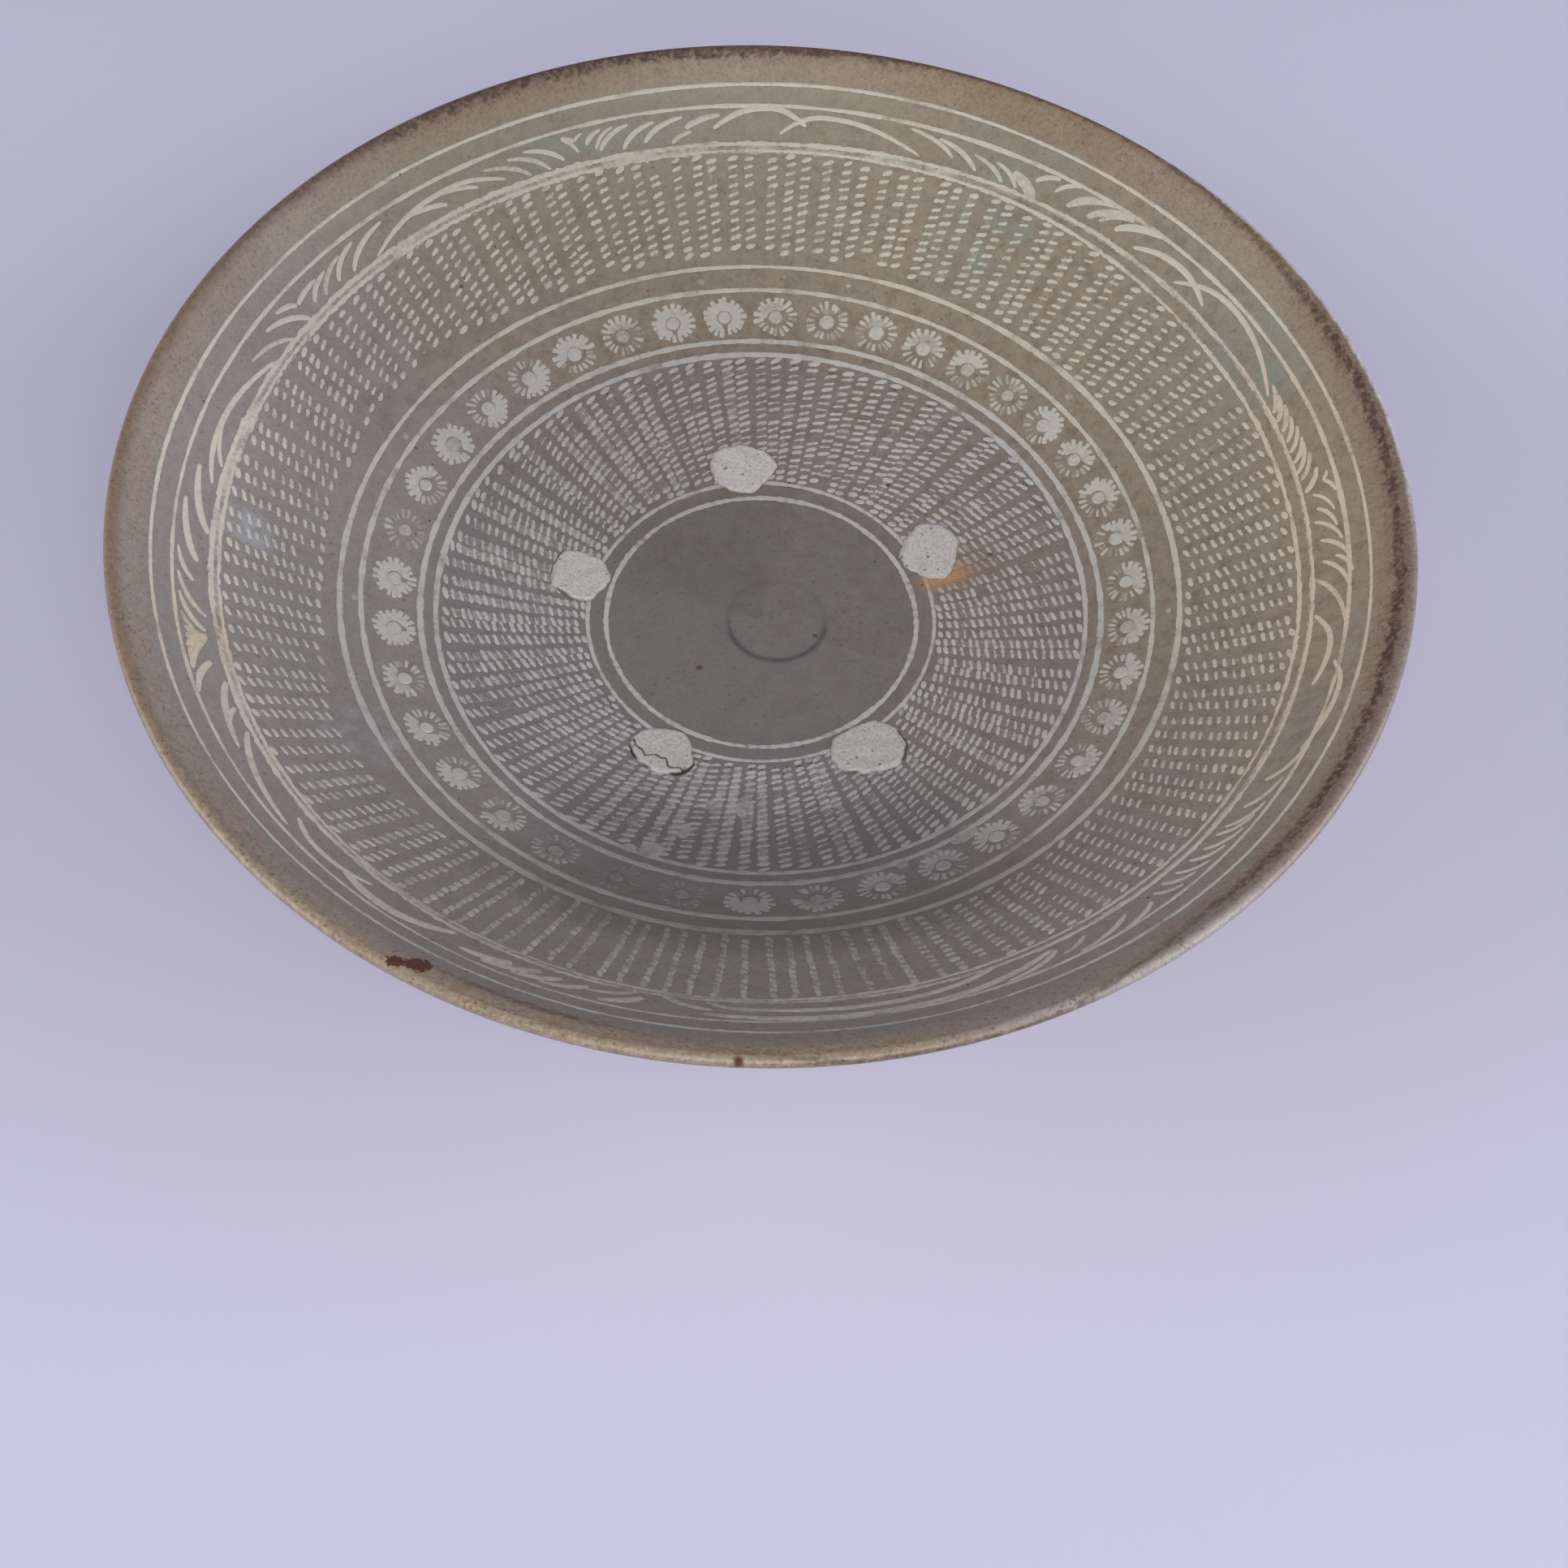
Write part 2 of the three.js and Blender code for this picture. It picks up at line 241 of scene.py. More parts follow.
def add_piece(name, points, faces, material, nodes, fields):
    """Writes a mesh from points in millimetres, with fields of one number a point.

    The piece rides on the bowl and stands for the named CAD nodes.
    """
    quads, triangles = faces
    corners = np.concatenate([quads.ravel(), triangles.ravel()])
    sizes = np.concatenate([np.full(len(quads), 4), np.full(len(triangles), 3)])
    mesh = bpy.data.meshes.new(name)
    mesh.vertices.add(len(points))
    mesh.vertices.foreach_set("co", (points * MM).astype(np.float32).ravel())
    mesh.loops.add(len(corners))
    mesh.loops.foreach_set("vertex_index", corners.astype(np.int32))
    mesh.polygons.add(len(sizes))
    mesh.polygons.foreach_set("loop_start", (np.cumsum(sizes) - sizes).astype(np.int32))
    mesh.polygons.foreach_set("use_smooth", np.ones(len(sizes), bool))
    for field, values in fields.items():
        attribute = mesh.attributes.new(field, "FLOAT", "POINT")
        attribute.data.foreach_set("value", values.astype(np.float32))
    mesh.update(calc_edges=True)
    mesh.materials.append(material)
    piece = bpy.data.objects.new(name, mesh)
    bpy.context.scene.collection.objects.link(piece)
    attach(piece, BODY)
    if nodes:
        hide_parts(*nodes)
    return piece


# The section of a slip line from its outer edge over its top to its inner edge, then its root
SECTION_ACROSS = np.array([1, 0.6, 0, -0.6, -1, 0])
SECTION_LIFT = SLIP_LIFT - (SLIP_LIFT + SLIP_SINK) * SECTION_ACROSS ** 2
SECTION_LIFT[-1] = -SLIP_DEPTH
SECTION_COVER = np.array([0.55, 0.92, 1, 0.92, 0.55, 0.5])


def hoop(marks, angle, r, width, cover):
    """A ring of slip. Radius, width and cover are given at each angle round the bowl."""
    across = SECTION_ACROSS * width[:, None] / 2 / SHOWN_SHARE
    points = on_well(r[:, None] + across * np.cos(well_slope(r))[:, None], angle[:, None], SECTION_LIFT)
    marks.add(points, cover[:, None] * SECTION_COVER, hoop_faces(len(angle), len(SECTION_ACROSS)))


def strokes(marks, r, angle, width, cover):
    """Long lenses of slip along paths: each row of r, angle and width is one path.

    The section lies square to the path, and the path's two ends are closed to points.
    """
    count, stations = r.shape
    tilt = np.cos(well_slope(r))
    along_slope = np.gradient(r, axis=1) / tilt
    along_ring = np.radians(np.gradient(angle, axis=1)) * r
    length = np.hypot(along_slope, along_ring)
    inner = slice(1, stations - 1)
    across = SECTION_ACROSS * width[:, inner, None] / 2 / SHOWN_SHARE
    sideways = (-along_ring / length * tilt)[:, inner, None] * across
    around = np.degrees((along_slope / length / r)[:, inner, None] * across)
    rings = on_well(r[:, inner, None] + sideways, angle[:, inner, None] + around, SECTION_LIFT)
    ends = [on_well(r[:, i], angle[:, i], -SLIP_SINK)[:, None] for i in (0, -1)]
    points = np.concatenate([ends[0], rings.reshape(count, -1, 3), ends[1]], axis=1)
    ring_cover = np.tile(SECTION_COVER, stations - 2)
    path_cover = np.concatenate([[0.3], ring_cover, [0.3]]) * np.broadcast_to(cover, count)[:, None]
    marks.add(points, path_cover, skin_faces(stations - 2, len(SECTION_ACROSS), count))


def pebbles(marks, r, angle, length, width, tilt, cover, lift=SLIP_LIFT, around=8):
    """Small lenses. Each is length by width, its length turned by tilt from the circle round the bowl.

    A point of the lens is short * cos(u) + long * sin(u), and its lift falls with the distance squared.
    """
    u = 2 * np.pi * (np.arange(around) + 0.5) / around
    shares = np.array([1, 0.6])
    lifts = lift - (lift + SLIP_SINK) * shares ** 2
    low = on_well(r, angle, -SLIP_DEPTH)[:, None]
    high = on_well(r, angle, lift)[:, None]
    r, angle, length, width, tilt = (values[:, None, None] for values in (r, angle, length, width, tilt))
    short = shares[:, None] * np.cos(u) * (width / 2 / SHOWN_SHARE)
    long = shares[:, None] * np.sin(u) * (length / 2 / SHOWN_SHARE)
    turn = np.radians(tilt)
    outward = short * np.cos(turn) - long * np.sin(turn)
    sideways = short * np.sin(turn) + long * np.cos(turn)
    ring_r = r + outward * np.cos(well_slope(r))
    rings = on_well(ring_r, angle + np.degrees(sideways / r), lifts[:, None])
    points = np.concatenate([low, rings.reshape(len(r), -1, 3), high], axis=1)
    lens_cover = np.concatenate([[0.5], np.repeat([0.6, 0.95], around), [1]])
    marks.add(points, cover[:, None] * lens_cover, skin_faces(len(shares), around, len(r)))


def all_round(count):
    """That many angles in even steps all the way round."""
    return np.arange(count) * 360 / count


def around_bowl(table, at):
    """Values read at a few angles, as pairs of angle and value, joined smoothly all the way round."""
    angles, values = np.array(table, float).T
    turns = np.concatenate([angles - 360, angles, angles + 360])
    steps = np.arange(-360, 720, 3)
    knots = np.interp(steps, turns, np.tile(values, 3))
    soft = np.convolve(knots, np.ones(5) / 5, mode="same")
    return np.interp(at, steps, soft)


# How many waves go round the bowl
WANDER_WAVES = (5, 11, 23, 47, 90)


def wander(seed, amount, at, fall=0.0):
    """A smooth random line round the bowl: sine waves of random phase, amount at most.

    The shorter waves are made smaller, by their number to the power fall.
    """
    chance = np.random.default_rng(seed)
    turn = np.radians(at)
    total = np.zeros_like(turn)
    for waves in WANDER_WAVES:
        share = chance.uniform(0.4, 1) * (WANDER_WAVES[0] / waves) ** fall
        total += np.sin(waves * turn + chance.uniform(0, 2 * np.pi)) * share
    return total * amount / 3


# About half the width on the plan of a ring line in the CAD
CAD_LINE_HALF = 0.5


def cad_radius(node):
    """The plan radius of a ring line's middle, from the CAD."""
    low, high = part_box(node)
    return (high.x - low.x) / 2 / MM - CAD_LINE_HALF


def cad_place(node):
    """Plan radius and angle of a small CAD node's middle."""
    low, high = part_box(node)
    x, y = (low.x + high.x) / 2 / MM, (low.y + high.y) / 2 / MM
    return math.hypot(x, y), math.degrees(math.atan2(y, x)) % 360


# Colours, as read in plain light
def tone(red, green, blue):
    """A colour given as the 0 to 255 numbers of a screen, as the linear colour that a shader takes."""
    channels = np.array([red, green, blue]) / 255
    linear = np.where(channels <= 0.04045, channels / 12.92, ((channels + 0.055) / 1.055) ** 2.4)
    return (*(float(channel) for channel in linear), 1.0)


TAN_CLAY = tone(131, 118, 99)
MAUVE_CLAY = tone(125, 119, 114)
TAN_INNER = tone(119, 109, 97)
GREY_INNER = tone(111, 107, 104)
WELL_GREY = tone(104, 100, 95)
OLIVE_CLAY = tone(126, 118, 97)
RIM_TAN = tone(132, 117, 95)
RIM_MAUVE = tone(134, 123, 115)
RIM_GOLD = tone(132, 115, 82)
RIM_OCHRE = tone(124, 102, 74)
RIM_BLUE = tone(120, 108, 100)
# Straw for the near lip, partly its own colour and partly painted light
RIM_STRAW = tone(152, 138, 113)
# A painted reflection for the lip's outer edge
RIM_PAINTED_SHEEN = tone(206, 201, 208)
RIM_SHADE = tone(106, 90, 77)
RIM_BROWN = tone(76, 57, 41)
IRON_BROWN = tone(68, 48, 35)
IRON_HALO = tone(104, 78, 56)
IRON_RED = tone(74, 37, 26)
IRON_SPECK = tone(78, 62, 52)
BROWN_MOTTLE = tone(102, 86, 68)
GREEN_MOTTLE = tone(124, 127, 117)
MARK_SHADE = tone(58, 53, 48)
CELADON = tone(118, 126, 112)
BARE_CLAY = tone(134, 100, 76)
BARE_SHADE = tone(104, 74, 56)
RUST = tone(176, 130, 84)
RUST_HALO = tone(118, 92, 66)
SLIP_CREAM = tone(190, 183, 168)
SLIP_GREY = tone(180, 177, 172)
SLIP_PEACH = tone(194, 176, 155)
SMEAR_BLUE = tone(150, 156, 164)
PAD_WHITE = tone(198, 193, 191)
PAD_SHADE = tone(168, 162, 159)
PAD_PIT = tone(92, 80, 74)
CRACK = tone(62, 54, 48)
FLOOR_LAVENDER = tone(206, 203, 227)

# The iron line near the lip, by angle: its plan radius, half its width, and its strength
IRON_LINE_RADIUS = [(0, 121.7), (25, 121.9), (36, 122.9), (50, 124), (72, 123.9), (88, 123.3),
                    (125, 123.2), (150, 123.5), (230, 123.4), (238, 119.3), (266, 119.1), (272, 125.1),
                    (300, 125.1), (304, 120.3), (315, 121), (335, 121.4), (350, 121.6)]
IRON_LINE_HALF = [(0, 1), (26, 0.9), (40, 0.6), (75, 0.8), (90, 1.2), (108, 1.4), (135, 1.1),
                  (150, 0.8), (180, 0.8), (250, 0.7), (266, 0.6), (276, 0.4), (298, 0.4), (306, 0.9),
                  (335, 1.1)]
IRON_LINE_STRENGTH = [(0, 1), (24, 1), (34, 0.5), (45, 0.8), (60, 0.55), (72, 0.9), (96, 1), (125, 1),
                      (138, 0.7), (150, 0.35), (160, 0.3), (180, 0.25), (232, 0), (246, 0.1), (250, 1),
                      (255, 1), (258, 0.1), (261, 0.1), (262, 0.8), (264, 0.1), (269, 0), (274, 0.4),
                      (280, 1), (296, 0.9), (301, 0), (308, 0.7), (330, 1)]
# The worn band along the lip, by angle: the plan radius where it begins. On the near side it reaches furthest
# in, and there its straw is partly painted light
BAND_RADIUS = [(0, 122.9), (26, 123.1), (36, 125.5), (120, 125.5), (130, 122.9), (228, 122.6),
               (242, 121.2), (252, 120.2), (272, 120), (286, 120.6), (300, 121.9), (340, 122.6)]

# The rust stain lies beside the first pad. It is longer outwards than round the bowl, and so is its halo,
# which lies further out
STAIN_RADIUS = 40.4
STAIN_ANGLE = 16.5
STAIN_STRETCH = 1.8
HALO_SHIFT = 3.5
# Blue-grey smears on the left of the wall, and chips in the lip: plan radius, angle and half width
BLUE_SMEARS = [(102, 182, 7), (88, 211, 9)]
BROKEN_CHIP = [(122.7, 241.4, 2.3), (120.6, 242.9, 3.3)]
SMALL_CHIP = (124.4, 269.3, 1.2)


def operator(operation, swapped=False):
    """A method that adds a Math node. Swapped, it serves Python's reflected form, such as 1 - wire."""

    def apply(wire, other):
        return wire.maths(operation, other, wire) if swapped else wire.maths(operation, wire, other)

    return apply


class Wire:
    """The output of a shader node. Python's operators on it add Math nodes."""

    def __init__(self, paint, socket):
        self.paint = paint
        self.socket = socket

    def maths(self, operation, *values):
        return self.paint.node("ShaderNodeMath", {"operation": operation}, dict(enumerate(values)))

    __add__ = operator("ADD")
    __radd__ = operator("ADD", swapped=True)
    __sub__ = operator("SUBTRACT")
    __rsub__ = operator("SUBTRACT", swapped=True)
    __mul__ = operator("MULTIPLY")
    __rmul__ = operator("MULTIPLY", swapped=True)
    __truediv__ = operator("DIVIDE")
    larger = operator("MAXIMUM")

    def size(self):
        return self.maths("ABSOLUTE", self)

    def root(self):
        return self.maths("SQRT", self)

    def step(self, low, high):
        """0 at low and 1 at high, smooth between. Low may be the larger of the two."""
        settings = {"interpolation_type": "SMOOTHSTEP"}
        return self.paint.node("ShaderNodeMapRange", settings, {0: self, 1: low, 2: high})


class Paint:
    """The node tree of one finish."""

    def __init__(self, owner):
        owner.use_nodes = True
        self.tree = owner.node_tree
        self.tree.nodes.clear()

    def node(self, kind, settings, inputs, output=0):
        """Adds a node: its settings first, then the values or wires of its sockets."""
        made = self.tree.nodes.new(kind)
        for name, value in settings.items():
            setattr(made, name, value)
        for key, value in inputs.items():
            if isinstance(value, Wire):
                self.tree.links.new(value.socket, made.inputs[key])
            else:
                made.inputs[key].default_value = value
        return Wire(self, made.outputs[output]) if made.outputs else None

    def find_place(self):
        """Millimetre coordinates on the bowl: the point, its x, y and height z, and its plan radius r."""
        metres = self.node("ShaderNodeTexCoord", {}, {}, "Object")
        self.point = self.node("ShaderNodeVectorMath", {"operation": "SCALE"}, {0: metres, 3: 1 / MM})
        parts = [self.node("ShaderNodeSeparateXYZ", {}, {0: self.point}, axis) for axis in range(3)]
        self.x, self.y, self.z = parts
        self.r = (self.x * self.x + self.y * self.y).root()

    def toward(self, angle):
        """1 in that direction from the bowl's middle, -1 in the opposite one."""
        turn = math.radians(angle)
        return (self.x * math.cos(turn) + self.y * math.sin(turn)) / self.r.larger(1)

    def sector(self, angle, half_width):
        """1 along that direction, 0 from half_width degrees to each side."""
        edge = math.cos(math.radians(half_width))
        core = math.cos(math.radians(half_width * 0.35))
        return self.toward(angle).step(edge, core)

    def band(self, radius, half_width):
        """1 on the circle of that radius, 0 from half_width to each side."""
        return (self.r - radius).size().step(half_width, half_width * 0.25)

    def spot(self, r, angle, half_width):
        """1 at a point of the inside, 0 from half_width away in plan."""
        turn = math.radians(angle)
        dx = self.x - r * math.cos(turn)
        dy = self.y - r * math.sin(turn)
        return (dx * dx + dy * dy).root().step(half_width, half_width * 0.3)

    def noise(self, size, detail=2.0, roughness=0.5):
        """Noise from 0 to 1 whose blotches are about that many millimetres across."""
        inputs = {"Vector": self.point, "Scale": 1 / size, "Detail": detail, "Roughness": roughness}
        return self.node("ShaderNodeTexNoise", {}, inputs)

    def waver(self, size, amount, detail=2.0):
        """Noise about zero, whose whole range is that amount."""
        return (self.noise(size, detail) - 0.5) * amount

    def grains(self, size):
        """Distance to the nearest of scattered points, in steps of that many millimetres."""
        return self.node("ShaderNodeTexVoronoi", {}, {"Vector": self.point, "Scale": 1 / size})

    def field(self, name):
        return self.node("ShaderNodeAttribute", {"attribute_name": name}, {}, 2)

    def mix(self, share, first, second):
        """Colours mixed by a share."""
        return self.node("ShaderNodeMix", {"data_type": "RGBA"}, {0: share, 6: first, 7: second}, 2)

    def coats(self, colour, *layers):
        """A colour with others laid over it in turn. Each layer is a share and a colour."""
        for share, layer in layers:
            colour = self.mix(share, colour, layer)
        return colour

    def ray(self, kind):
        """1 where the surface is met by a ray of that kind, such as Camera."""
        return self.node("ShaderNodeLightPath", {}, {}, f"Is {kind} Ray")

    def shade(self, colour, factor):
        """A colour made darker or lighter by a number."""
        return self.node("ShaderNodeVectorMath", {"operation": "SCALE"}, {0: colour, 3: factor})

    def finish(self, colour, roughness, relief, relief_height, fixed):
        """Ends in a Principled shader, with relief as bump of that height in millimetres."""
        normal = self.node("ShaderNodeBump", {}, {"Height": relief, "Distance": relief_height * MM})
        sockets = {"Base Color": colour, "Roughness": roughness, "Normal": normal, **fixed}
        shader = self.node("ShaderNodeBsdfPrincipled", {}, sockets)
        self.node("ShaderNodeOutputMaterial", {}, {0: shader})


def new_finish(name):
    material = bpy.data.materials.new(name)
    paint = Paint(material)
    paint.find_place()
    return material, paint


# In the finishes a sector is an angle on the plan and half its width. A step or band of r is in millimetres
def glazed_ground(paint):
    """The glazed clay's colour: tan on the right and far side, mauve-grey on the left, grey in the well."""
    warm = (paint.toward(50) + paint.waver(16, 0.9, 3)).step(-0.7, 0.6)
    inner = paint.mix(warm, GREY_INNER, TAN_INNER)
    wall = paint.mix(warm, MAUVE_CLAY, TAN_CLAY)
    brown = paint.noise(2.8, 4, 0.65).step(0.42, 0.7) * (warm * 0.45 + 0.2)
    green = paint.noise(3.6, 4, 0.65).step(0.48, 0.72) * paint.r.step(60, 90) * 0.35
    scorched = paint.sector(135, 40) * paint.band(94, 15) * paint.noise(5, 3).step(0.3, 0.65)
    olive = paint.sector(108, 50) * paint.r.step(76, 110) * paint.noise(11).step(0.35, 0.65)
    pools = paint.sector(62, 9) * paint.r.step(84, 92)
    pools = pools.larger(paint.sector(24, 8) * paint.r.step(100, 106))
    pools = pools.larger(paint.sector(112, 24) * paint.band(110, 6))
    smear = paint.spot(*BLUE_SMEARS[0]).larger(paint.spot(*BLUE_SMEARS[1]))
    return paint.coats(
        paint.mix(paint.r.step(30, 44), WELL_GREY, inner),
        (paint.r.step(65, 73), wall),
        (brown, BROWN_MOTTLE),
        (green, GREEN_MOTTLE),
        (scorched * 0.45, BROWN_MOTTLE),
        (olive * 0.6, OLIVE_CLAY),
        (pools * paint.noise(7).step(0.3, 0.7) * 0.65, CELADON),
        (smear * paint.noise(4).step(0.35, 0.7) * 0.6, SMEAR_BLUE),
    )


def painted_light_and_shade(paint, colour):
    """Painted light and shade over clay and slip alike: paler on the upper wall to the right and left and
    along the near lip, darker towards the far left and most of all on the near lower wall.
    """
    upper_wall = paint.r.step(92, 108)
    lower_wall = paint.r.step(40, 62) * paint.r.step(96, 86)
    # Painted light: paler on the upper wall to the right and left, and along the near lip
    pale = (paint.sector(335, 55) + paint.sector(198, 45)) * upper_wall * 0.16
    near_lip = paint.r.step(117, 119.5) * 0.11 + paint.band(121.4, 2.6) * 0.2
    pale = pale + paint.sector(264, 45) * near_lip
    # Painted shade: darker towards the far left, and most of all on the near lower wall
    dark = paint.sector(122, 52) * 0.17 + paint.sector(272, 48) * lower_wall * 0.42
    return paint.shade(colour, 1 + pale - dark)


def worn_tint_and_painted_light(paint):
    """The worn band's colour: straw on the near side, partly the lip's own colour and partly painted light,
    bluish on the right, mauve between, else ochre.
    """
    # Straw on the near side, partly painted light
    straw = paint.mix(paint.noise(1.2, 4, 0.65).step(0.4, 0.6) * 0.75, RIM_STRAW, RIM_OCHRE)
    return paint.coats(
        RIM_OCHRE,
        (paint.sector(252, 52), straw),
        (paint.sector(5, 62), RIM_BLUE),
        (paint.sector(302, 22), RIM_MAUVE),
    )


def iron_lip(paint, colour):
    """The lip, where the glaze ran thin: a mottled margin, a worn band, a broken iron line and a chip, and a
    painted sheen along the lip's outer edge on the right.

    Gives the colour, and how far the iron burnt the glaze matt.
    """
    warm = (paint.toward(60) + paint.waver(9, 1)).step(-0.6, 0.5)
    gold = paint.sector(78, 32) * paint.r.step(116, 119) * (paint.noise(3.2, 3) * 0.8 + 0.2)
    mottle = paint.noise(1.6, 3).step(0.38, 0.64) * (paint.sector(74, 60) * 0.45 + 0.35)
    shade = paint.sector(158, 98).larger(paint.sector(350, 40)) * paint.r.step(121.2, 122.8)
    band = (paint.field("band") + paint.waver(3, 1.4) + paint.waver(0.9, 2.4, 3)).step(-0.4, 0.8)
    edge = (paint.r + paint.waver(4, 0.9)).step(123.3, 124.1)
    burnt = edge * paint.sector(86, 60)
    # Painted sheen: a pale streak on the lip's outer edge to the right, faint on the near right, stands in
    # for a reflection in the glaze
    pale = edge * paint.sector(24, 32).larger(paint.sector(302, 14) * 0.2)
    strength = paint.field("iron_strength")
    off = (paint.field("iron") + paint.waver(1.8, 2.6, 3) + paint.waver(12, 1.5)).size()
    halo = off.step(3.4, 0.6) * strength * paint.noise(1.5, 3).step(0.25, 0.7)
    stipple = off.step(2.8, 0.9) * strength * paint.grains(0.8).step(0.4, 0.15)
    line = off.step(1.15, 0.4) * strength * paint.noise(1.1, 3).step(0.22, 0.62)
    line = line.larger(stipple * 0.5)
    chip = paint.spot(*BROKEN_CHIP[0]) + paint.spot(*BROKEN_CHIP[1]) + paint.waver(0.9, 2.2, 3)
    chip = chip.step(0.5, 0.62).larger(paint.spot(*SMALL_CHIP))
    colour = paint.coats(
        colour,
        (paint.r.step(117, 119.5), paint.mix(warm, RIM_MAUVE, RIM_TAN)),
        (gold * 0.75, RIM_GOLD),
        (paint.r.step(116.5, 120) * mottle, RIM_OCHRE),
        (shade * (paint.noise(2.2, 3) * 0.9 + 0.2), RIM_SHADE),
        (band * (paint.noise(1.4, 3) * 0.9 + 0.3), worn_tint_and_painted_light(paint)),
        (burnt * 0.95, RIM_BROWN),
        (pale * 0.75, RIM_PAINTED_SHEEN),
        (halo * 0.75, IRON_HALO),
        (line, IRON_BROWN),
        (chip, IRON_RED),
    )
    return colour, burnt.larger(line).larger(chip)


def rust_stain(paint, colour):
    """A rust-orange stain beside one pad, with a faint brown halo out along the wall."""
    ragged = paint.waver(2.5, 4, 3)
    turn = math.radians(STAIN_ANGLE)
    out = paint.x * math.cos(turn) + paint.y * math.sin(turn)
    side = paint.y * math.cos(turn) - paint.x * math.sin(turn)

    def distance(middle):
        """Distance from the point of the stain's angle at that radius, counted shorter outwards."""
        along = (out - middle) / STAIN_STRETCH
        return (along * along + side * side).root()

    core = distance(STAIN_RADIUS) + ragged * 0.4
    halo = distance(STAIN_RADIUS + HALO_SHIFT) + ragged
    return paint.coats(colour, (halo.step(7, 1.5) * 0.5, RUST_HALO), (core.step(4.3, 1) * 0.75, RUST))


def speckled(paint, colour):
    """Fine light and dark grain in the glaze, with scattered iron specks, and more of both at the lip."""
    grain = paint.noise(0.9, 3, 0.6) * 0.4 + paint.noise(4, 3) * 0.3 + paint.waver(0.45, 0.25) + 0.65
    lip_grain = paint.noise(0.7, 3, 0.65).step(0.46, 0.66) * paint.r.step(116.5, 118.5)
    specks = paint.grains(1.9).step(0.26, 0.1) * paint.noise(5).step(0.42, 0.62)
    lip_specks = paint.grains(1.1).step(0.42, 0.15) * paint.noise(3).step(0.4, 0.6) * paint.r.step(117, 121)
    colour = paint.shade(colour, grain * (1.06 - lip_grain * 0.22))
    return paint.mix((specks * 0.5).larger(lip_specks * 0.6), colour, IRON_SPECK)


def glaze_relief(paint):
    """The glaze's orange-peel surface."""
    return paint.noise(1.3, 2) * 0.7 + paint.noise(0.35, 1) * 0.3


# How deep a finish's relief is, in millimetres
GLAZE_RELIEF = 0.05
CLAY_RELIEF = 0.09
SPOT_RELIEF = 0.03
GLAZE_FILM = {"Coat Weight": 0.35, "Coat Roughness": 0.22, "IOR": 1.5}


def make_stoneware():
    """Glazed clay, with a bare foot ring and a plainer outside."""
    material, paint = new_finish("glazed_stoneware")
    outside = paint.field("outside")
    inside_colour, burnt = iron_lip(paint, rust_stain(paint, glazed_ground(paint)))
    burnt = burnt * (1 - outside)
    run = paint.noise(9, 3)
    thin = (paint.z + (run - 0.5) * 3).step(13.5, 11.5)
    outside_colour = paint.coats(RIM_TAN, (run.step(0.3, 0.7), MAUVE_CLAY), (thin * 0.6, RIM_OCHRE))
    mark = paint.field("mark") * paint.noise(1.5, 3).step(0.05, 0.5)
    bare = (paint.z + paint.waver(2, 0.8)).step(1.7, 1.1)
    bare_colour = paint.mix(paint.noise(0.6, 3).step(0.2, 0.8), BARE_SHADE, BARE_CLAY)
    # The inside's colour takes painted light and shade by place
    colour = speckled(paint, paint.mix(outside, painted_light_and_shade(paint, inside_colour), outside_colour))
    colour = paint.coats(colour, (mark, MARK_SHADE), (bare, bare_colour))
    matt = bare.larger(burnt)
    roughness = paint.noise(5, 3) * 0.2 + 0.34 + matt * 0.35
    film = {**GLAZE_FILM, "Coat Weight": (1 - matt) * GLAZE_FILM["Coat Weight"]}
    paint.finish(colour, roughness, glaze_relief(paint), GLAZE_RELIEF, film)
    return material


def make_slip():
    """White slip under the same glaze. Where it covers thinly, the clay shows through."""
    material, paint = new_finish("inlaid_slip")
    clay = rust_stain(paint, glazed_ground(paint))
    warm = (paint.toward(50) + paint.waver(12, 1)).step(-0.5, 0.5) * paint.r.step(60, 90)
    cream = warm.larger(paint.r.step(98, 108) * 0.8)
    peach = paint.sector(348, 36).larger(paint.sector(198, 6)).larger(paint.sector(12, 16))
    peach = peach * paint.r.step(100, 107) * 0.8
    slip = rust_stain(paint, paint.coats(SLIP_GREY, (cream, SLIP_CREAM), (peach, SLIP_PEACH)))
    sunk = paint.sector(267, 42) * paint.r.step(80, 90) * 0.25
    cover = paint.field("cover") * (1 - sunk) + paint.waver(1, 0.9, 3) + paint.waver(7, 0.5)
    # The slip takes the same painted light and shade by place as the clay
    colour = painted_light_and_shade(paint, paint.mix(cover.step(0.1, 0.95), clay, slip))
    colour = paint.shade(colour, paint.noise(1.1, 3) * 0.3 + 0.85)
    paint.finish(colour, paint.noise(5, 3) * 0.2 + 0.36, glaze_relief(paint), GLAZE_RELIEF, GLAZE_FILM)
    return material


def make_stacking_clay():
    """Dry granular clay, whitish with dark pits, and a dark crack round it where the glaze shrank back."""
    material, paint = new_finish("stacking_clay")
    grain = paint.noise(0.6, 3, 0.7)
    pits = paint.grains(1.5).step(0.3, 0.12) * paint.noise(2).step(0.45, 0.6) * 0.8
    layers = [(grain.step(0.3, 0.65), PAD_WHITE), (pits, PAD_PIT), (paint.field("crack"), CRACK)]
    roughness = paint.noise(2) * 0.1 + 0.82
    relief = grain + paint.noise(0.25, 1) * 0.4
    colour = paint.coats(PAD_SHADE, *layers)
    paint.finish(colour, roughness, relief, CLAY_RELIEF, {"Specular IOR Level": 0.3})
    return material


def make_iron():
    """Iron that burnt through the glaze as small dark spots."""
    material, paint = new_finish("iron_spots")
    colour = paint.mix(paint.noise(0.5), IRON_BROWN, IRON_SPECK)
    paint.finish(colour, paint.noise(1) * 0.2 + 0.35, glaze_relief(paint), SPOT_RELIEF, GLAZE_FILM)
    return material


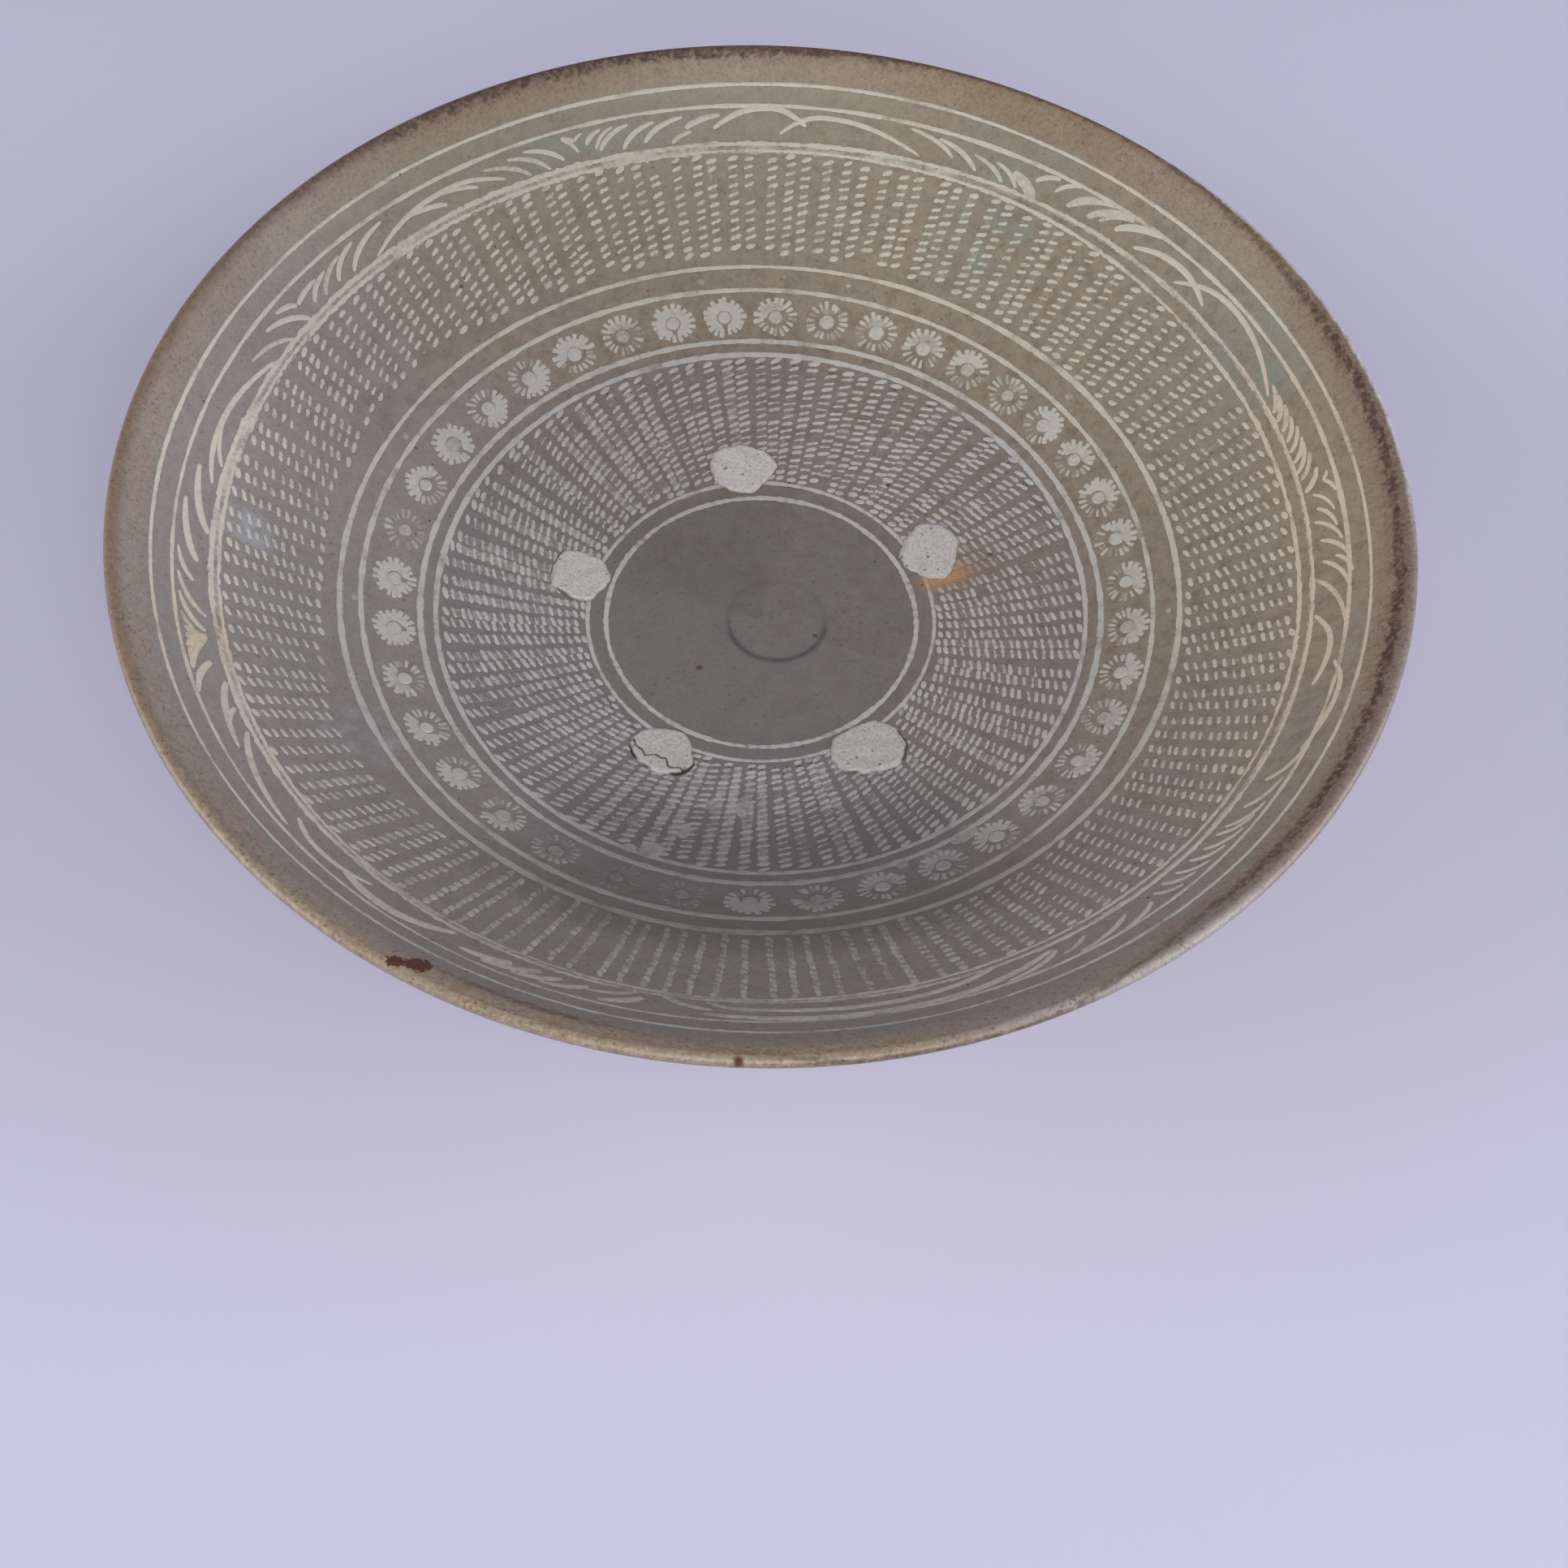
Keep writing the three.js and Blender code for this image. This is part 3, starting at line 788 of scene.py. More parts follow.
def round_corners(corners, steps=6):
    """An outline through corners (r, z, radius). Each is a curve that starts and ends radius away from it."""
    outline = []
    for before, (r, z, radius), after in zip(corners, corners[1:], corners[2:]):
        here = np.array([r, z])
        arrive = np.array(before[:2]) - here
        leave = np.array(after[:2]) - here
        start = here + arrive / np.hypot(*arrive) * radius
        end = here + leave / np.hypot(*leave) * radius
        for t in np.linspace(0, 1, steps):
            outline.append(start * (1 - t) ** 2 + here * 2 * t * (1 - t) + end * t ** 2)
    return np.array(outline)


def outside_profile():
    """Rows (r, z) from the middle of the underside over the foot and up the wall to the lip's inner edge."""
    under_r = np.linspace(1, FOOT_INNER - FOOT_TAPER - 2, UNDER_STEPS)
    under = np.stack([under_r, UNDERSIDE + turning(under_r, *UNDERSIDE_RIPPLE)], axis=1)
    share = np.linspace(0, 1, WALL_STEPS)
    inner = blend(share, SHOULDER_RADIUS, LIP_EDGE)
    slope = well_slope(inner)
    thickness = blend(share, WALL_AT_FOOT, LIP_THICKNESS)
    thickness = thickness + turning(inner, *WALL_RIPPLE) * smooth(1 - share, 0, 0.2)
    wall_r = inner + thickness * np.sin(slope)
    wall_z = well_height(inner) - thickness * np.cos(slope)
    foot = round_corners([
        (under_r[-1], UNDERSIDE, 0),
        (FOOT_INNER - FOOT_TAPER, UNDERSIDE, 1.4),
        (FOOT_INNER, 0, FOOT_EDGE),
        (FOOT_OUTER, 0, FOOT_EDGE),
        (FOOT_OUTER - 0.3, wall_z[0] - 1.6, 1.8),
        (wall_r[0], wall_z[0], 0),
    ])
    turn = np.linspace(LIP_SLOPE - math.pi / 2, LIP_SLOPE + math.pi / 2, LIP_STEPS + 2)[1:-1]
    lip_r = RIM_RADIUS - LIP_RADIUS + LIP_RADIUS * np.cos(turn)
    lip_z = RIM_HEIGHT - LIP_RADIUS + LIP_RADIUS * np.sin(turn)
    wall = np.stack([wall_r, wall_z], axis=1)
    return np.concatenate([under, foot, wall, np.stack([lip_r, lip_z], axis=1)])


def body_fields(points, outside):
    """What the glaze is painted by, at each point. For the iron line and the worn band it is a distance."""
    x, y = points[:, :2].T
    r = np.hypot(x, y)
    at = np.degrees(np.arctan2(y, x)) % 360
    return {
        "outside": outside,
        "mark": thrower_mark(r, np.radians(at)) / MARK_DEPTH * (1 - outside),
        "iron": (r - around_bowl(IRON_LINE_RADIUS, at)) / around_bowl(IRON_LINE_HALF, at),
        "iron_strength": around_bowl(IRON_LINE_STRENGTH, at) * smooth(1 - outside, 0, 0.06),
        "band": (r - around_bowl(BAND_RADIUS, at)) * smooth(0.98 - outside, 0, 0.1),
    }


def make_body(material):
    """The turned clay: a profile carried round the axis. The inside follows on_well at every point."""
    angle = all_round(AROUND_BODY)
    turn = np.radians(angle)
    outer = outside_profile()
    outer_points = out_of_true(outer[:, :1], outer[:, 1:], turn[None])
    well_r = np.arange(WELL_EDGE - WELL_STEP, WELL_STEP / 2, -WELL_STEP)
    inner_r = np.concatenate([np.linspace(LIP_EDGE, WELL_EDGE, INNER_STEPS), well_r])
    inner_points = on_well(inner_r[:, None], angle[None])
    low = np.array([[0, 0, UNDERSIDE]])
    high = on_well(np.zeros(1), np.zeros(1))
    rows = np.concatenate([outer_points, inner_points])
    points = np.concatenate([low, rows.reshape(-1, 3), high])
    # 1 outside and 0 inside. Over the lip's first rows the outside's finish gives way to the inside's
    outside = np.concatenate([np.ones(len(outer)), np.zeros(len(inner_r))])
    outside[len(outer) - LIP_STEPS:len(outer)] = smooth(np.arange(LIP_STEPS), 6, 0)
    outside = np.concatenate([[1], np.repeat(outside, AROUND_BODY), [0]])
    faces = skin_faces(len(rows), AROUND_BODY)
    fields = body_fields(points, outside)
    add_piece("thrown_bowl", points, faces, material, ["stoneware_body"], fields)


# Ring lines by CAD node: the width, and how far the line wanders outwards, each at a few angles
RING_LINES = {
    "line_1": ([(0, 0.85), (240, 0.8)],
               [(0, 0.1), (45, 0.1), (85, 0.7), (125, 0.3), (180, 0.4), (210, -0.1), (260, -1.1),
                (290, -0.7), (340, 0.4)]),
    "line_2": ([(0, 0.95), (240, 0.8)],
               [(0, 0.2), (60, 0.2), (90, 0.4), (130, 0.1), (200, 0.1), (240, -0.3), (270, -0.9),
                (300, -0.3), (330, 0.1)]),
    "line_5": ([(0, 1.3), (60, 1.2), (80, 0.9), (140, 1), (180, 1.25), (240, 1.8), (270, 1.7), (330, 1.4)],
               [(0, -0.2), (45, 0.2), (200, 0.2), (240, -0.1), (330, -0.1)]),
    "line_6": ([(0, 1.1), (100, 1.05), (200, 1.2), (240, 1.5), (300, 1.3)],
               [(0, -0.7), (30, -0.6), (60, -0.1), (110, 0.2), (170, 0.9), (230, 0.4), (290, 0),
                (340, -0.5)]),
    "line_7": ([(0, 1.25), (90, 1.2), (200, 1.4), (300, 1.45)], [(0, 0)]),
    "line_9": ([(0, 0.9)], [(0, 0)]),
    "line_10": ([(0, 1.1)], [(0, 0)]),
}
# The frieze's ring line: how it wanders, its width, and how far it lies outside the curtain's line
FRIEZE_LINE = [(0, 0.2), (60, 0.5), (100, -0.2), (250, -0.3), (270, -0.9), (300, 0.2), (340, 0.3)]
FRIEZE_LINE_WIDTH = [(0, 1), (70, 1), (110, 1.4), (240, 1.3), (270, 1), (330, 1)]
FRIEZE_LINE_GAP = 2.2
# Between the frieze line and the curtain's line the slip wasn't scraped clean on the far and left side
ROUGH_BAND = [(0, 0), (55, 0.2), (80, -0.9), (245, -0.9), (262, -0.5)]
ROUGH_BAND_WIDTH = [(0, 0.4), (55, 0.4), (68, 1.4), (100, 2), (235, 1.9), (255, 1.2), (270, 0.4)]
# The curtains' ring lines: how the outer one wanders, and the widths of both
CURTAIN_LINE = [(0, 0), (30, -0.2), (60, 1.2), (100, 0.9), (250, 0.9), (280, 0.7), (340, 0.7)]
CURTAIN_LINE_WIDTH = [(0, 0.9), (90, 0.9), (110, 1.2), (240, 1.1), (270, 0.9)]
INNER_CURTAIN_WIDTH = [(0, 1.2)]


def ring(marks, seed, radius, widths, wanders, rough=0.03, cover=0.9):
    """One ring line of slip, whose radius and width waver as the hand that cut it did."""
    angle = all_round(AROUND_RING)
    chips = np.random.default_rng(seed + 70).normal(0, 1, (2, AROUND_RING))
    r = radius + around_bowl(wanders, angle) + wander(seed, 0.14, angle, 0.6) + chips[0] * rough * 0.5
    width = around_bowl(widths, angle) * (1 + wander(seed + 50, 0.3, angle) + chips[1] * rough * 2)
    hoop(marks, angle, r, width, cover + wander(seed + 90, 0.35, angle))


def make_ring_lines(material):
    for seed, (node, (widths, wanders)) in enumerate(RING_LINES.items()):
        marks = Marks()
        ring(marks, seed, cad_radius(node), widths, wanders)
        if node == "line_5":
            add_slip_drops(marks)
        if node == "line_7":
            add_flower_smears(marks, cad_radius(node))
        marks.make("slip_" + node, material, [node])


# Drops of slip that fell between lines 5 and 6: angle, radius, size
SLIP_DROPS = [(37.7, 82.6, 1.6), (156.8, 83, 1.3), (186.8, 82.4, 1.5), (355, 82.8, 1.2), (78, 83.2, 1),
              (101, 82.7, 1.4), (88, 83.5, 0.8)]


def add_slip_drops(marks):
    angle, r, size = np.array(SLIP_DROPS).T
    pebbles(marks, r, angle, size * 1.3, size, np.full(len(r), 20.0), np.full(len(r), 0.55))


# Slip that was left smeared between the flowers and line 7: angle, how far out from the line it lies, its
# size along the circle and across it, and its cover
FLOWER_SMEARS = [(288, 1, 3, 2, 0.4), (293.4, 0.7, 2.6, 3.4, 0.5), (298.4, 1.4, 3.8, 3, 0.55),
                 (304.6, 0.9, 6.4, 3.2, 0.65), (305.6, -0.8, 3.4, 1.8, 0.45), (336, 1.3, 4, 2.4, 0.4)]


def add_flower_smears(marks, line):
    angle, out, along, across, cover = np.array(FLOWER_SMEARS).T
    pebbles(marks, line + out, angle, along, across, 0 * angle, cover, around=16)


# Grass, read round the bowl. A blade's angles at its foot and tip, then the height of both over the
# frieze line, measured up the slope, and its width
BLADES = [
    (-6.3, -13, 0.4, 7.5, 1.2), (-4.1, -8.6, 1.8, 7.9, 1), (-3.9, -6.7, 4.7, 8.6, 0.9),
    (-1.4, -4.3, 1.8, 7.5, 1.2), (1.2, -2.4, 1.1, 6.8, 1), (2.8, -0.5, 2.2, 6.1, 0.9),
    (4.7, 1.5, 2, 6.1, 0.9), (5.8, 3.8, 5, 7.2, 1), (5.8, 6.8, 5, 6.4, 0.9),
    (5.2, 7.9, 0.7, 4.7, 1.3), (6.9, 10.1, 0.6, 4.3, 1.1), (7.9, 11.6, 0.2, 4, 1.1),
    (9.4, 12.3, 0.3, 4, 1.1), (10.9, 13.8, 0.3, 4, 1.2), (12.3, 15.3, 0.5, 3.7, 1.2),
    (13.8, 17, 0.6, 3.7, 1.3), (15.3, 18.5, 0.5, 3.5, 1.3), (16.5, 20, 0.6, 3.6, 1.2),
    (47.9, 42, 2.7, 7.5, 1.6), (50, 46, 2.5, 6.8, 1), (51.6, 45.1, 1.8, 7.9, 1.5),
    (54.2, 47.5, 1.8, 7.9, 1.3), (54.3, 51, 1.8, 6.8, 1), (56.3, 53.3, 3.6, 7.5, 1),
    (58.9, 56.1, 4, 6.8, 1.2), (58.2, 61.9, -0.3, 4, 2.6), (60.6, 64.1, 0.7, 4.9, 1.1),
    (62.4, 66.9, 0.7, 4.9, 1), (65.8, 71.4, 1.1, 6.1, 1.1), (68.8, 74.9, 2.5, 6.8, 1.1),
    (100.6, 96.1, 4, 6.8, 1.4), (102.3, 99.7, 1.1, 3.4, 1.1), (105.6, 100.4, 1.8, 6.9, 1.3),
    (108.2, 103.8, 1.1, 6.5, 1.1), (110.9, 106.8, 1.8, 6.8, 1.2), (111.3, 108.6, 2.5, 6.9, 0.9),
    (112.3, 110.1, 4, 6.8, 1), (113.5, 112.3, 5.4, 6.9, 0.8), (113.5, 115, 5.4, 6.9, 0.8),
    (113.3, 115, 2.7, 6.5, 0.9), (115.1, 119.8, 1.8, 6.5, 1.2), (117, 122, 0.7, 6.1, 1.1),
    (119.4, 125, 0.7, 5.8, 1.1), (126, 130.8, 2.7, 5, 0.9), (130.2, 135.6, 2.3, 4.3, 1),
    (144.8, 137.9, 1.1, 6.6, 1.1), (147, 142.3, 1.6, 6.6, 1.2), (149.4, 144.6, 1.3, 6.1, 1.2),
    (151, 147.2, 2, 5.6, 1.2), (152.8, 148.7, 4.3, 5.6, 1), (152.8, 155.6, 4.3, 6.6, 1.2),
    (152.6, 158.2, 0, 5.9, 1.2), (156, 162.3, 0, 4.7, 1), (175.9, 169.9, 0.7, 4, 1),
    (185, 176.2, 0.7, 5.6, 1.5), (189, 180.7, 2.8, 6.8, 1.5), (191.5, 187.2, 3.7, 7.2, 1.1),
    (195.8, 190.2, 1.5, 7.2, 1.2), (197.7, 192.8, 2.3, 7.2, 1.3), (197.7, 195.4, 4.7, 7.2, 1),
    (198.4, 197.3, 2.2, 7, 1.8), (198.4, 198.7, 2.2, 7.1, 2), (198.4, 200.1, 2.4, 7.2, 2),
    (198.5, 201.5, 2.6, 7.3, 1.9), (198.6, 202.9, 2.9, 7.4, 1.7), (201.4, 205.9, 2.5, 7.9, 1.6),
    (203.6, 213, 0.7, 4.9, 1.6), (207.3, 209.2, 1.1, 3.6, 1), (210, 223.5, 0.6, 6.6, 1.3),
    (248.3, 243, 2.9, 5.4, 2), (251, 245.3, 1.8, 6.1, 1.9), (253, 248.3, 2.2, 6.1, 1.8),
    (255.5, 251, 2.5, 6, 1.7), (259.8, 255, 0.3, 4, 1.3), (260.5, 256.4, 2.2, 6.5, 1.9),
    (262, 267, 0.2, 4, 1.3), (266, 271, 0.8, 3.8, 1), (298.9, 292.5, 2.2, 6.5, 1.2),
    (301.9, 298.5, 2, 4.8, 1.2), (306.4, 299.7, 2.6, 6.6, 1.3), (309, 304.5, 4, 7, 1.2),
    (309.7, 312.3, 2.4, 6, 1), (311.2, 314.2, 1.6, 5.5, 1.1), (313, 316, 1.6, 5.8, 1),
    (315, 318.3, 1.6, 5.8, 1.1), (316.8, 320.9, 1.9, 6.2, 1.1), (319, 322.8, 1.6, 6.2, 1),
    (320.2, 324.6, 1.9, 6.4, 1.1), (323.1, 328, 2.3, 6.5, 1.2), (326.9, 332, 2.6, 7.6, 1.1),
]
# Arches: foot, crown and far end as angles, then the height of each, and the width
ARCHES = [
    (18, 30.2, 38.6, 0.9, 6.5, 1, 1.2), (32.8, 38.3, 45.1, 1.8, 4.9, 1.8, 1.4),
    (71.9, 84, 90, 0.7, 6.1, 1.1, 1.1), (86.1, 90.7, 97.8, 3.6, 7.9, 2.7, 1.4),
    (122, 129, 142, 1.8, 5.4, 0.2, 1.1), (159, 171, 178.8, 0.2, 4.2, 1.8, 1.2),
    (221.7, 226.5, 233, 2.5, 5.2, 2.5, 1.3), (229.3, 234.5, 242.5, 4.3, 6.1, 0.7, 2.1),
    (267, 283, 294.4, 2.6, 4, 0.2, 1.5), (264, 285, 299.6, 5.4, 7, 2.2, 1.8),
    (330.5, 338.5, 342.9, 6.4, 9.2, 6, 1.2), (339.2, 344.2, 349.3, 3, 5, 0, 1.3),
]
# Plan radius for each millimetre up the slope, where the grass is
SLOPE_SHARE = 0.773
PATH_STATIONS = 16


def bowed(foot, crown, tip, t):
    """A path from foot by way of crown to tip: the curve (1-t)^2 foot + 2t(1-t) pull + t^2 tip."""
    pull = 2 * crown - (foot + tip) / 2
    return foot * (1 - t) ** 2 + pull * 2 * t * (1 - t) + tip * t ** 2


def make_grass(material, line):
    """The frieze line and the grass that grows from it. A blade rises steeply and bends over at its tip."""
    marks = Marks()
    chance = np.random.default_rng(11)
    ring(marks, 21, line, FRIEZE_LINE_WIDTH, FRIEZE_LINE, 0.08)
    ring(marks, 22, line, ROUGH_BAND_WIDTH, ROUGH_BAND, 0.15, 0.5)
    t = np.linspace(0, 1, PATH_STATIONS)[None]
    round_ends = (4 * t * (1 - t)) ** 0.36
    foot, tip, low, high, wide = np.array(BLADES).T[..., None]
    base = line + around_bowl(FRIEZE_LINE, foot % 360)
    angle = bowed(foot, foot + (tip - foot) * 0.4, tip, t)
    height = bowed(low, low + (high - low) * 0.66, high, t)
    width = wide * chance.uniform(0.9, 1.1, foot.shape) * round_ends * (1.12 - 0.25 * t)
    strokes(marks, base + height * SLOPE_SHARE, angle, width, chance.uniform(0.7, 1, len(foot)))
    foot, crown, end, low, high, last, wide = np.array(ARCHES).T[..., None]
    climb = np.clip(2 * t, 0, 1)
    descent = np.clip(2 * t - 1, 0, 1)
    rise = np.sin(np.pi / 2 * climb)
    fall = 1 - np.cos(np.pi / 2 * descent)
    angle = foot + (crown - foot) * climb + (end - crown) * descent ** 0.8
    height = low + (high - low) * rise - (high - last) * fall
    base = line + around_bowl(FRIEZE_LINE, foot % 360)
    strokes(marks, base + height * SLOPE_SHARE, angle, wide * round_ends, np.full(len(foot), 0.92))
    marks.make("slip_grass_frieze", material, ["grass_frieze"])


# Cord-impressed curtains: where the outer one ends, as radius at a few angles
OUTER_END = [(0, 86.2), (50, 86.2), (60, 87.7), (130, 87.7), (145, 90), (170, 89), (185, 87.5), (205, 90.5),
             (212, 93), (222, 90), (232, 86), (300, 86)]
OUTER_COLUMNS = 153
INNER_COLUMNS = 104
INNER_END = 37.3
# How far inside its line each curtain begins
OUTER_START = 0.7
INNER_START = 0.9
# Grains: how far apart they lie down a column, their length and width, and how they slant
OUTER_GRAINS = (1.95, 2.4, 1.15, 22)
INNER_GRAINS = (1.7, 2.7, 1.1, 20)
GRAIN_LIFT = 0.055
# Longer than any column, down the slope
COLUMN_LENGTH = 40
FILM_STATIONS = 14
# How thickly the film covers, by angle
OUTER_FILM = [(0, 0.15), (70, 0.25), (110, 0.15), (200, 0.15), (225, 0.3), (262, 0.45), (300, 0.25)]
INNER_FILM = [(0, 0.25), (60, 0.2), (120, 0.3), (158, 0.45), (195, 0.25), (240, 0.4), (262, 0.45), (290, 0.3)]
# Round this angle, to this many degrees on each side, the outer columns are worn to streaks
STREAKED = 262
STREAKED_HALF = 34


def curtain(marks, seed, columns, top, bottom, pitch, length, width, tilt, streaks, film):
    """Columns of slanted grains that run down the inside, as a cord leaves when it is rolled on clay.

    Column i stands at an even angle with a little jitter. Its grain k lies pitch * k below the top.
    A film of slip as wide as the grains was left behind each column when the surface was scraped.
    Top and bottom, as plan radius, and the film's cover are tables round the bowl.
    """
    chance = np.random.default_rng(seed)
    rows = int(COLUMN_LENGTH / pitch)
    spacing = 360 / columns
    # Draws are made once for each column or for every grain
    each = (columns, 1)
    every = (columns, rows)
    k = np.arange(rows)
    column = (np.arange(columns)[:, None] + 0.5 + chance.uniform(-0.16, 0.16, each)) * spacing
    start = around_bowl(top, column)
    end = around_bowl(bottom, column)
    lean = chance.normal(0, 0.1, each) * spacing
    phase = chance.uniform(0.1, 0.75, each)
    r = down_slope(start, pitch * (k + phase) + chance.normal(0, 0.12, every))
    angle = column + lean * (k / rows - 0.5) + chance.normal(0, 0.05, every)
    streak = streaks * smooth(STREAKED_HALF - np.abs(column - STREAKED), 0, 14)
    fade = chance.uniform(0.8, 1, each) * chance.uniform(0.78, 1.12, every)
    kept = (r > end) & (chance.uniform(0, 1, every) > 0.02)
    size = chance.uniform(0.86, 1.12, every)
    room = np.minimum(1, 0.88 * np.radians(spacing) * r / length)
    long = blend(streak, length * room, 1.25) * size
    wide = blend(streak, width, pitch * 1.3) * chance.uniform(0.85, 1.15, every)
    slant = tilt * (1 - 0.6 * streak) + chance.normal(0, 5, every)
    cover = np.clip(fade * (1 - 0.15 * streak), 0, 1)
    pebbles(marks, r[kept], angle[kept], long[kept], wide[kept], slant[kept], cover[kept], GRAIN_LIFT)
    down = np.linspace(0, 1, FILM_STATIONS) * (slope_length(start) - slope_length(end))
    film_r = down_slope(start, down)
    film_angle = column + lean * (down / pitch / rows - 0.5)
    film_width = length * 0.8 * chance.uniform(0.7, 1.15, film_r.shape) * np.minimum(1, film_r / 55)
    film_cover = around_bowl(film, column[:, 0]) * chance.uniform(0.5, 1.3, columns)
    strokes(marks, film_r, film_angle, film_width * (1 - 0.45 * streak), film_cover)


# Slip that was left smeared over the inner curtain: angle, how far down the slope it lies below the
# curtain's line, its size along the circle and down the slope, and its cover
SMEARS = [(252.4, 2.2, 4.6, 4.6, 0.75), (256.4, 9.8, 2.9, 4.6, 0.6), (260, 18.2, 3.2, 3.6, 0.55),
          (267.5, 19, 3.6, 6.6, 0.5), (247, 8.2, 3.6, 4.4, 0.45), (249, 0.6, 3, 2.6, 0.7)]


def add_smears(marks, line):
    angle, down, along, across, cover = np.array(SMEARS).T
    pebbles(marks, down_slope(line, down), angle, along, across, 0 * angle, cover, GRAIN_LIFT, 16)


def make_curtains(material, outer_line, inner_line):
    marks = Marks()
    ring(marks, 31, outer_line, CURTAIN_LINE_WIDTH, CURTAIN_LINE, 0.08)
    top = [(angle, outer_line - OUTER_START + out) for angle, out in CURTAIN_LINE]
    curtain(marks, 5, OUTER_COLUMNS, top, OUTER_END, *OUTER_GRAINS, 1, OUTER_FILM)
    marks.make("slip_outer_cords", material, ["outer_curtain"])
    marks = Marks()
    ring(marks, 32, inner_line, INNER_CURTAIN_WIDTH, [(0, 0)])
    top = [(0, inner_line - INNER_START)]
    curtain(marks, 6, INNER_COLUMNS, top, [(0, INNER_END)], *INNER_GRAINS, 0, INNER_FILM)
    add_smears(marks, inner_line)
    marks.make("slip_inner_cords", material, ["inner_curtain"])


# Flowers, by angle: the way the filled side faces from the outward direction, its span, and its strength
FULL = (0, 350, 0.9)
FLOWER_FILLS = {
    2.5: (20, 160, 0.8), 11.5: (30, 150, 0.8), 20: (40, 190, 0.9), 28: (30, 170, 0.8),
    37: (-37, 190, 0.95), 44: (0, 60, 0.5), 53: (20, 150, 0.9), 62: (0, 200, 0.6), 71: (20, 120, 0.5),
    80: (0, 60, 0.4), 88.5: (30, 150, 0.7), 97: FULL, 106: FULL, 115: (0, 120, 0.7), 125: (10, 200, 0.8),
    136: (-136, 180, 0.95), 145: (-145, 180, 0.95), 153.5: FULL, 163: (0, 200, 0.8), 172: (0, 40, 0.3),
    182: FULL, 191.5: FULL, 200: (20, 180, 0.7), 209: (30, 190, 0.8), 219: (20, 200, 0.8),
    230: (30, 150, 0.7), 239: (0, 120, 0.5), 249.5: (0, 60, 0.2), 259.5: (0, 100, 0.3),
    268.5: (0, 240, 0.9), 279.5: (0, 180, 0.6), 288: (180, 200, 0.7), 298: (180, 200, 0.7),
    308: (180, 180, 0.8), 317: (180, 150, 0.6), 327: (0, 160, 0.7), 337: (10, 160, 0.7),
    345.5: (0, 160, 0.8), 354.5: (0, 200, 0.8),
}
# How strongly the fainter flowers show, by angle
FAINT_FLOWERS = {172: 0.6, 249.5: 0.35, 259.5: 0.45, 239: 0.65, 53: 0.9}
FLOWERS = 39
PETALS = 18
# A petal's start and end from the flower's middle, its width, and how that varies on the way out
PETAL_START = 2.3
PETAL_END = 4.9
PETAL_WIDTH = 1.15
PETAL_SHAPE = np.array([1, 0.85, 0.95, 1, 1, 0.95, 1])
# Flowers are a little longer round the bowl. The boss in the middle stands higher than the petals
FLOWER_STRETCH = 1.08
FLOWER_BOSS = 2.9
BOSS_LIFT = 0.1
# Slip that filled the stamp: the radius and width of its arc, and its stations
FILL_RADIUS = 2.55
FILL_WIDTH = 2.3
FILL_STATIONS = 26


def make_flowers(material):
    """Each flower is a boss with petals round it, and slip that filled the stamp between some petals."""
    for number in range(1, FLOWERS + 1):
        node = f"flower_{number:02d}"
        r, angle = cad_place(node)
        marks = Marks()
        add_flower(marks, r, angle, number)
        marks.make(f"slip_{node}", material, [node])


def nearest(table, angle):
    """The table's key nearest to an angle."""
    return min(table, key=lambda key: abs((key - angle + 180) % 360 - 180))


def add_flower(marks, r, angle, seed):
    chance = np.random.default_rng(300 + seed)
    key = nearest(FLOWER_FILLS, angle)
    facing, span, strength = FLOWER_FILLS[key]
    vigour = FAINT_FLOWERS.get(key, 1)
    tilt = math.cos(well_slope(r))

    def local(distance, direction):
        """A place at that distance and direction from the flower's middle, on the inside."""
        turn = np.radians(direction)
        sideways = distance * np.sin(turn) * FLOWER_STRETCH
        return r + distance * np.cos(turn) * tilt, angle + np.degrees(sideways / r)

    direction = (np.arange(PETALS)[:, None] + chance.uniform(0, 1)) * 360 / PETALS
    t = np.linspace(0, 1, len(PETAL_SHAPE))[None]
    reach = PETAL_END * chance.uniform(0.87, 1.04, direction.shape)
    path = local(blend(t, PETAL_START, reach), direction + chance.normal(0, 2.2, direction.shape) + 0 * t)
    width = PETAL_WIDTH * chance.uniform(0.8, 1.12, direction.shape) * (0.6 + 0.4 * t) * PETAL_SHAPE
    filled = np.abs((direction - facing + 180) % 360 - 180) < span / 2
    cover = (vigour * np.where(filled, 1, chance.uniform(0.4, 0.95, direction.shape)))[:, 0]
    strokes(marks, *path, width * np.where(filled, 1.1, 0.9), cover)
    around = np.linspace(facing - span / 2, facing + span / 2, FILL_STATIONS)[None]
    share = np.linspace(0.01, 0.99, FILL_STATIONS)[None]
    ends = (4 * share * (1 - share)) ** 0.25
    strokes(marks, *local(FILL_RADIUS, around), FILL_WIDTH * ends, np.array([strength * vigour]))
    one = np.ones(1)
    boss = FLOWER_BOSS * chance.uniform(0.9, 1.1)
    boss_cover = vigour * chance.uniform(0.6, 1) * one
    pebbles(marks, r * one, angle * one, boss * one, boss * one, 0 * one, boss_cover, BOSS_LIFT, 14)


# Pads: the node's number, and how long and wide the pad is along the circle and across it
PAD_SIZES = {1: (14, 13), 2: (14.5, 12), 3: (12.5, 13), 4: (13.5, 12.5), 5: (16, 14)}
# How strong the crack round each pad is
CRACKED = {1: 0.25, 2: 0.15, 3: 0.7, 4: 1, 5: 0.9}
# Pads with a crack across them
SPLIT = (4,)
PAD_HEIGHT = 0.75
PAD_GRAIN = 0.02
PAD_AROUND = 120
PAD_RINGS = 26
PAD_EDGE_SINK = 0.12
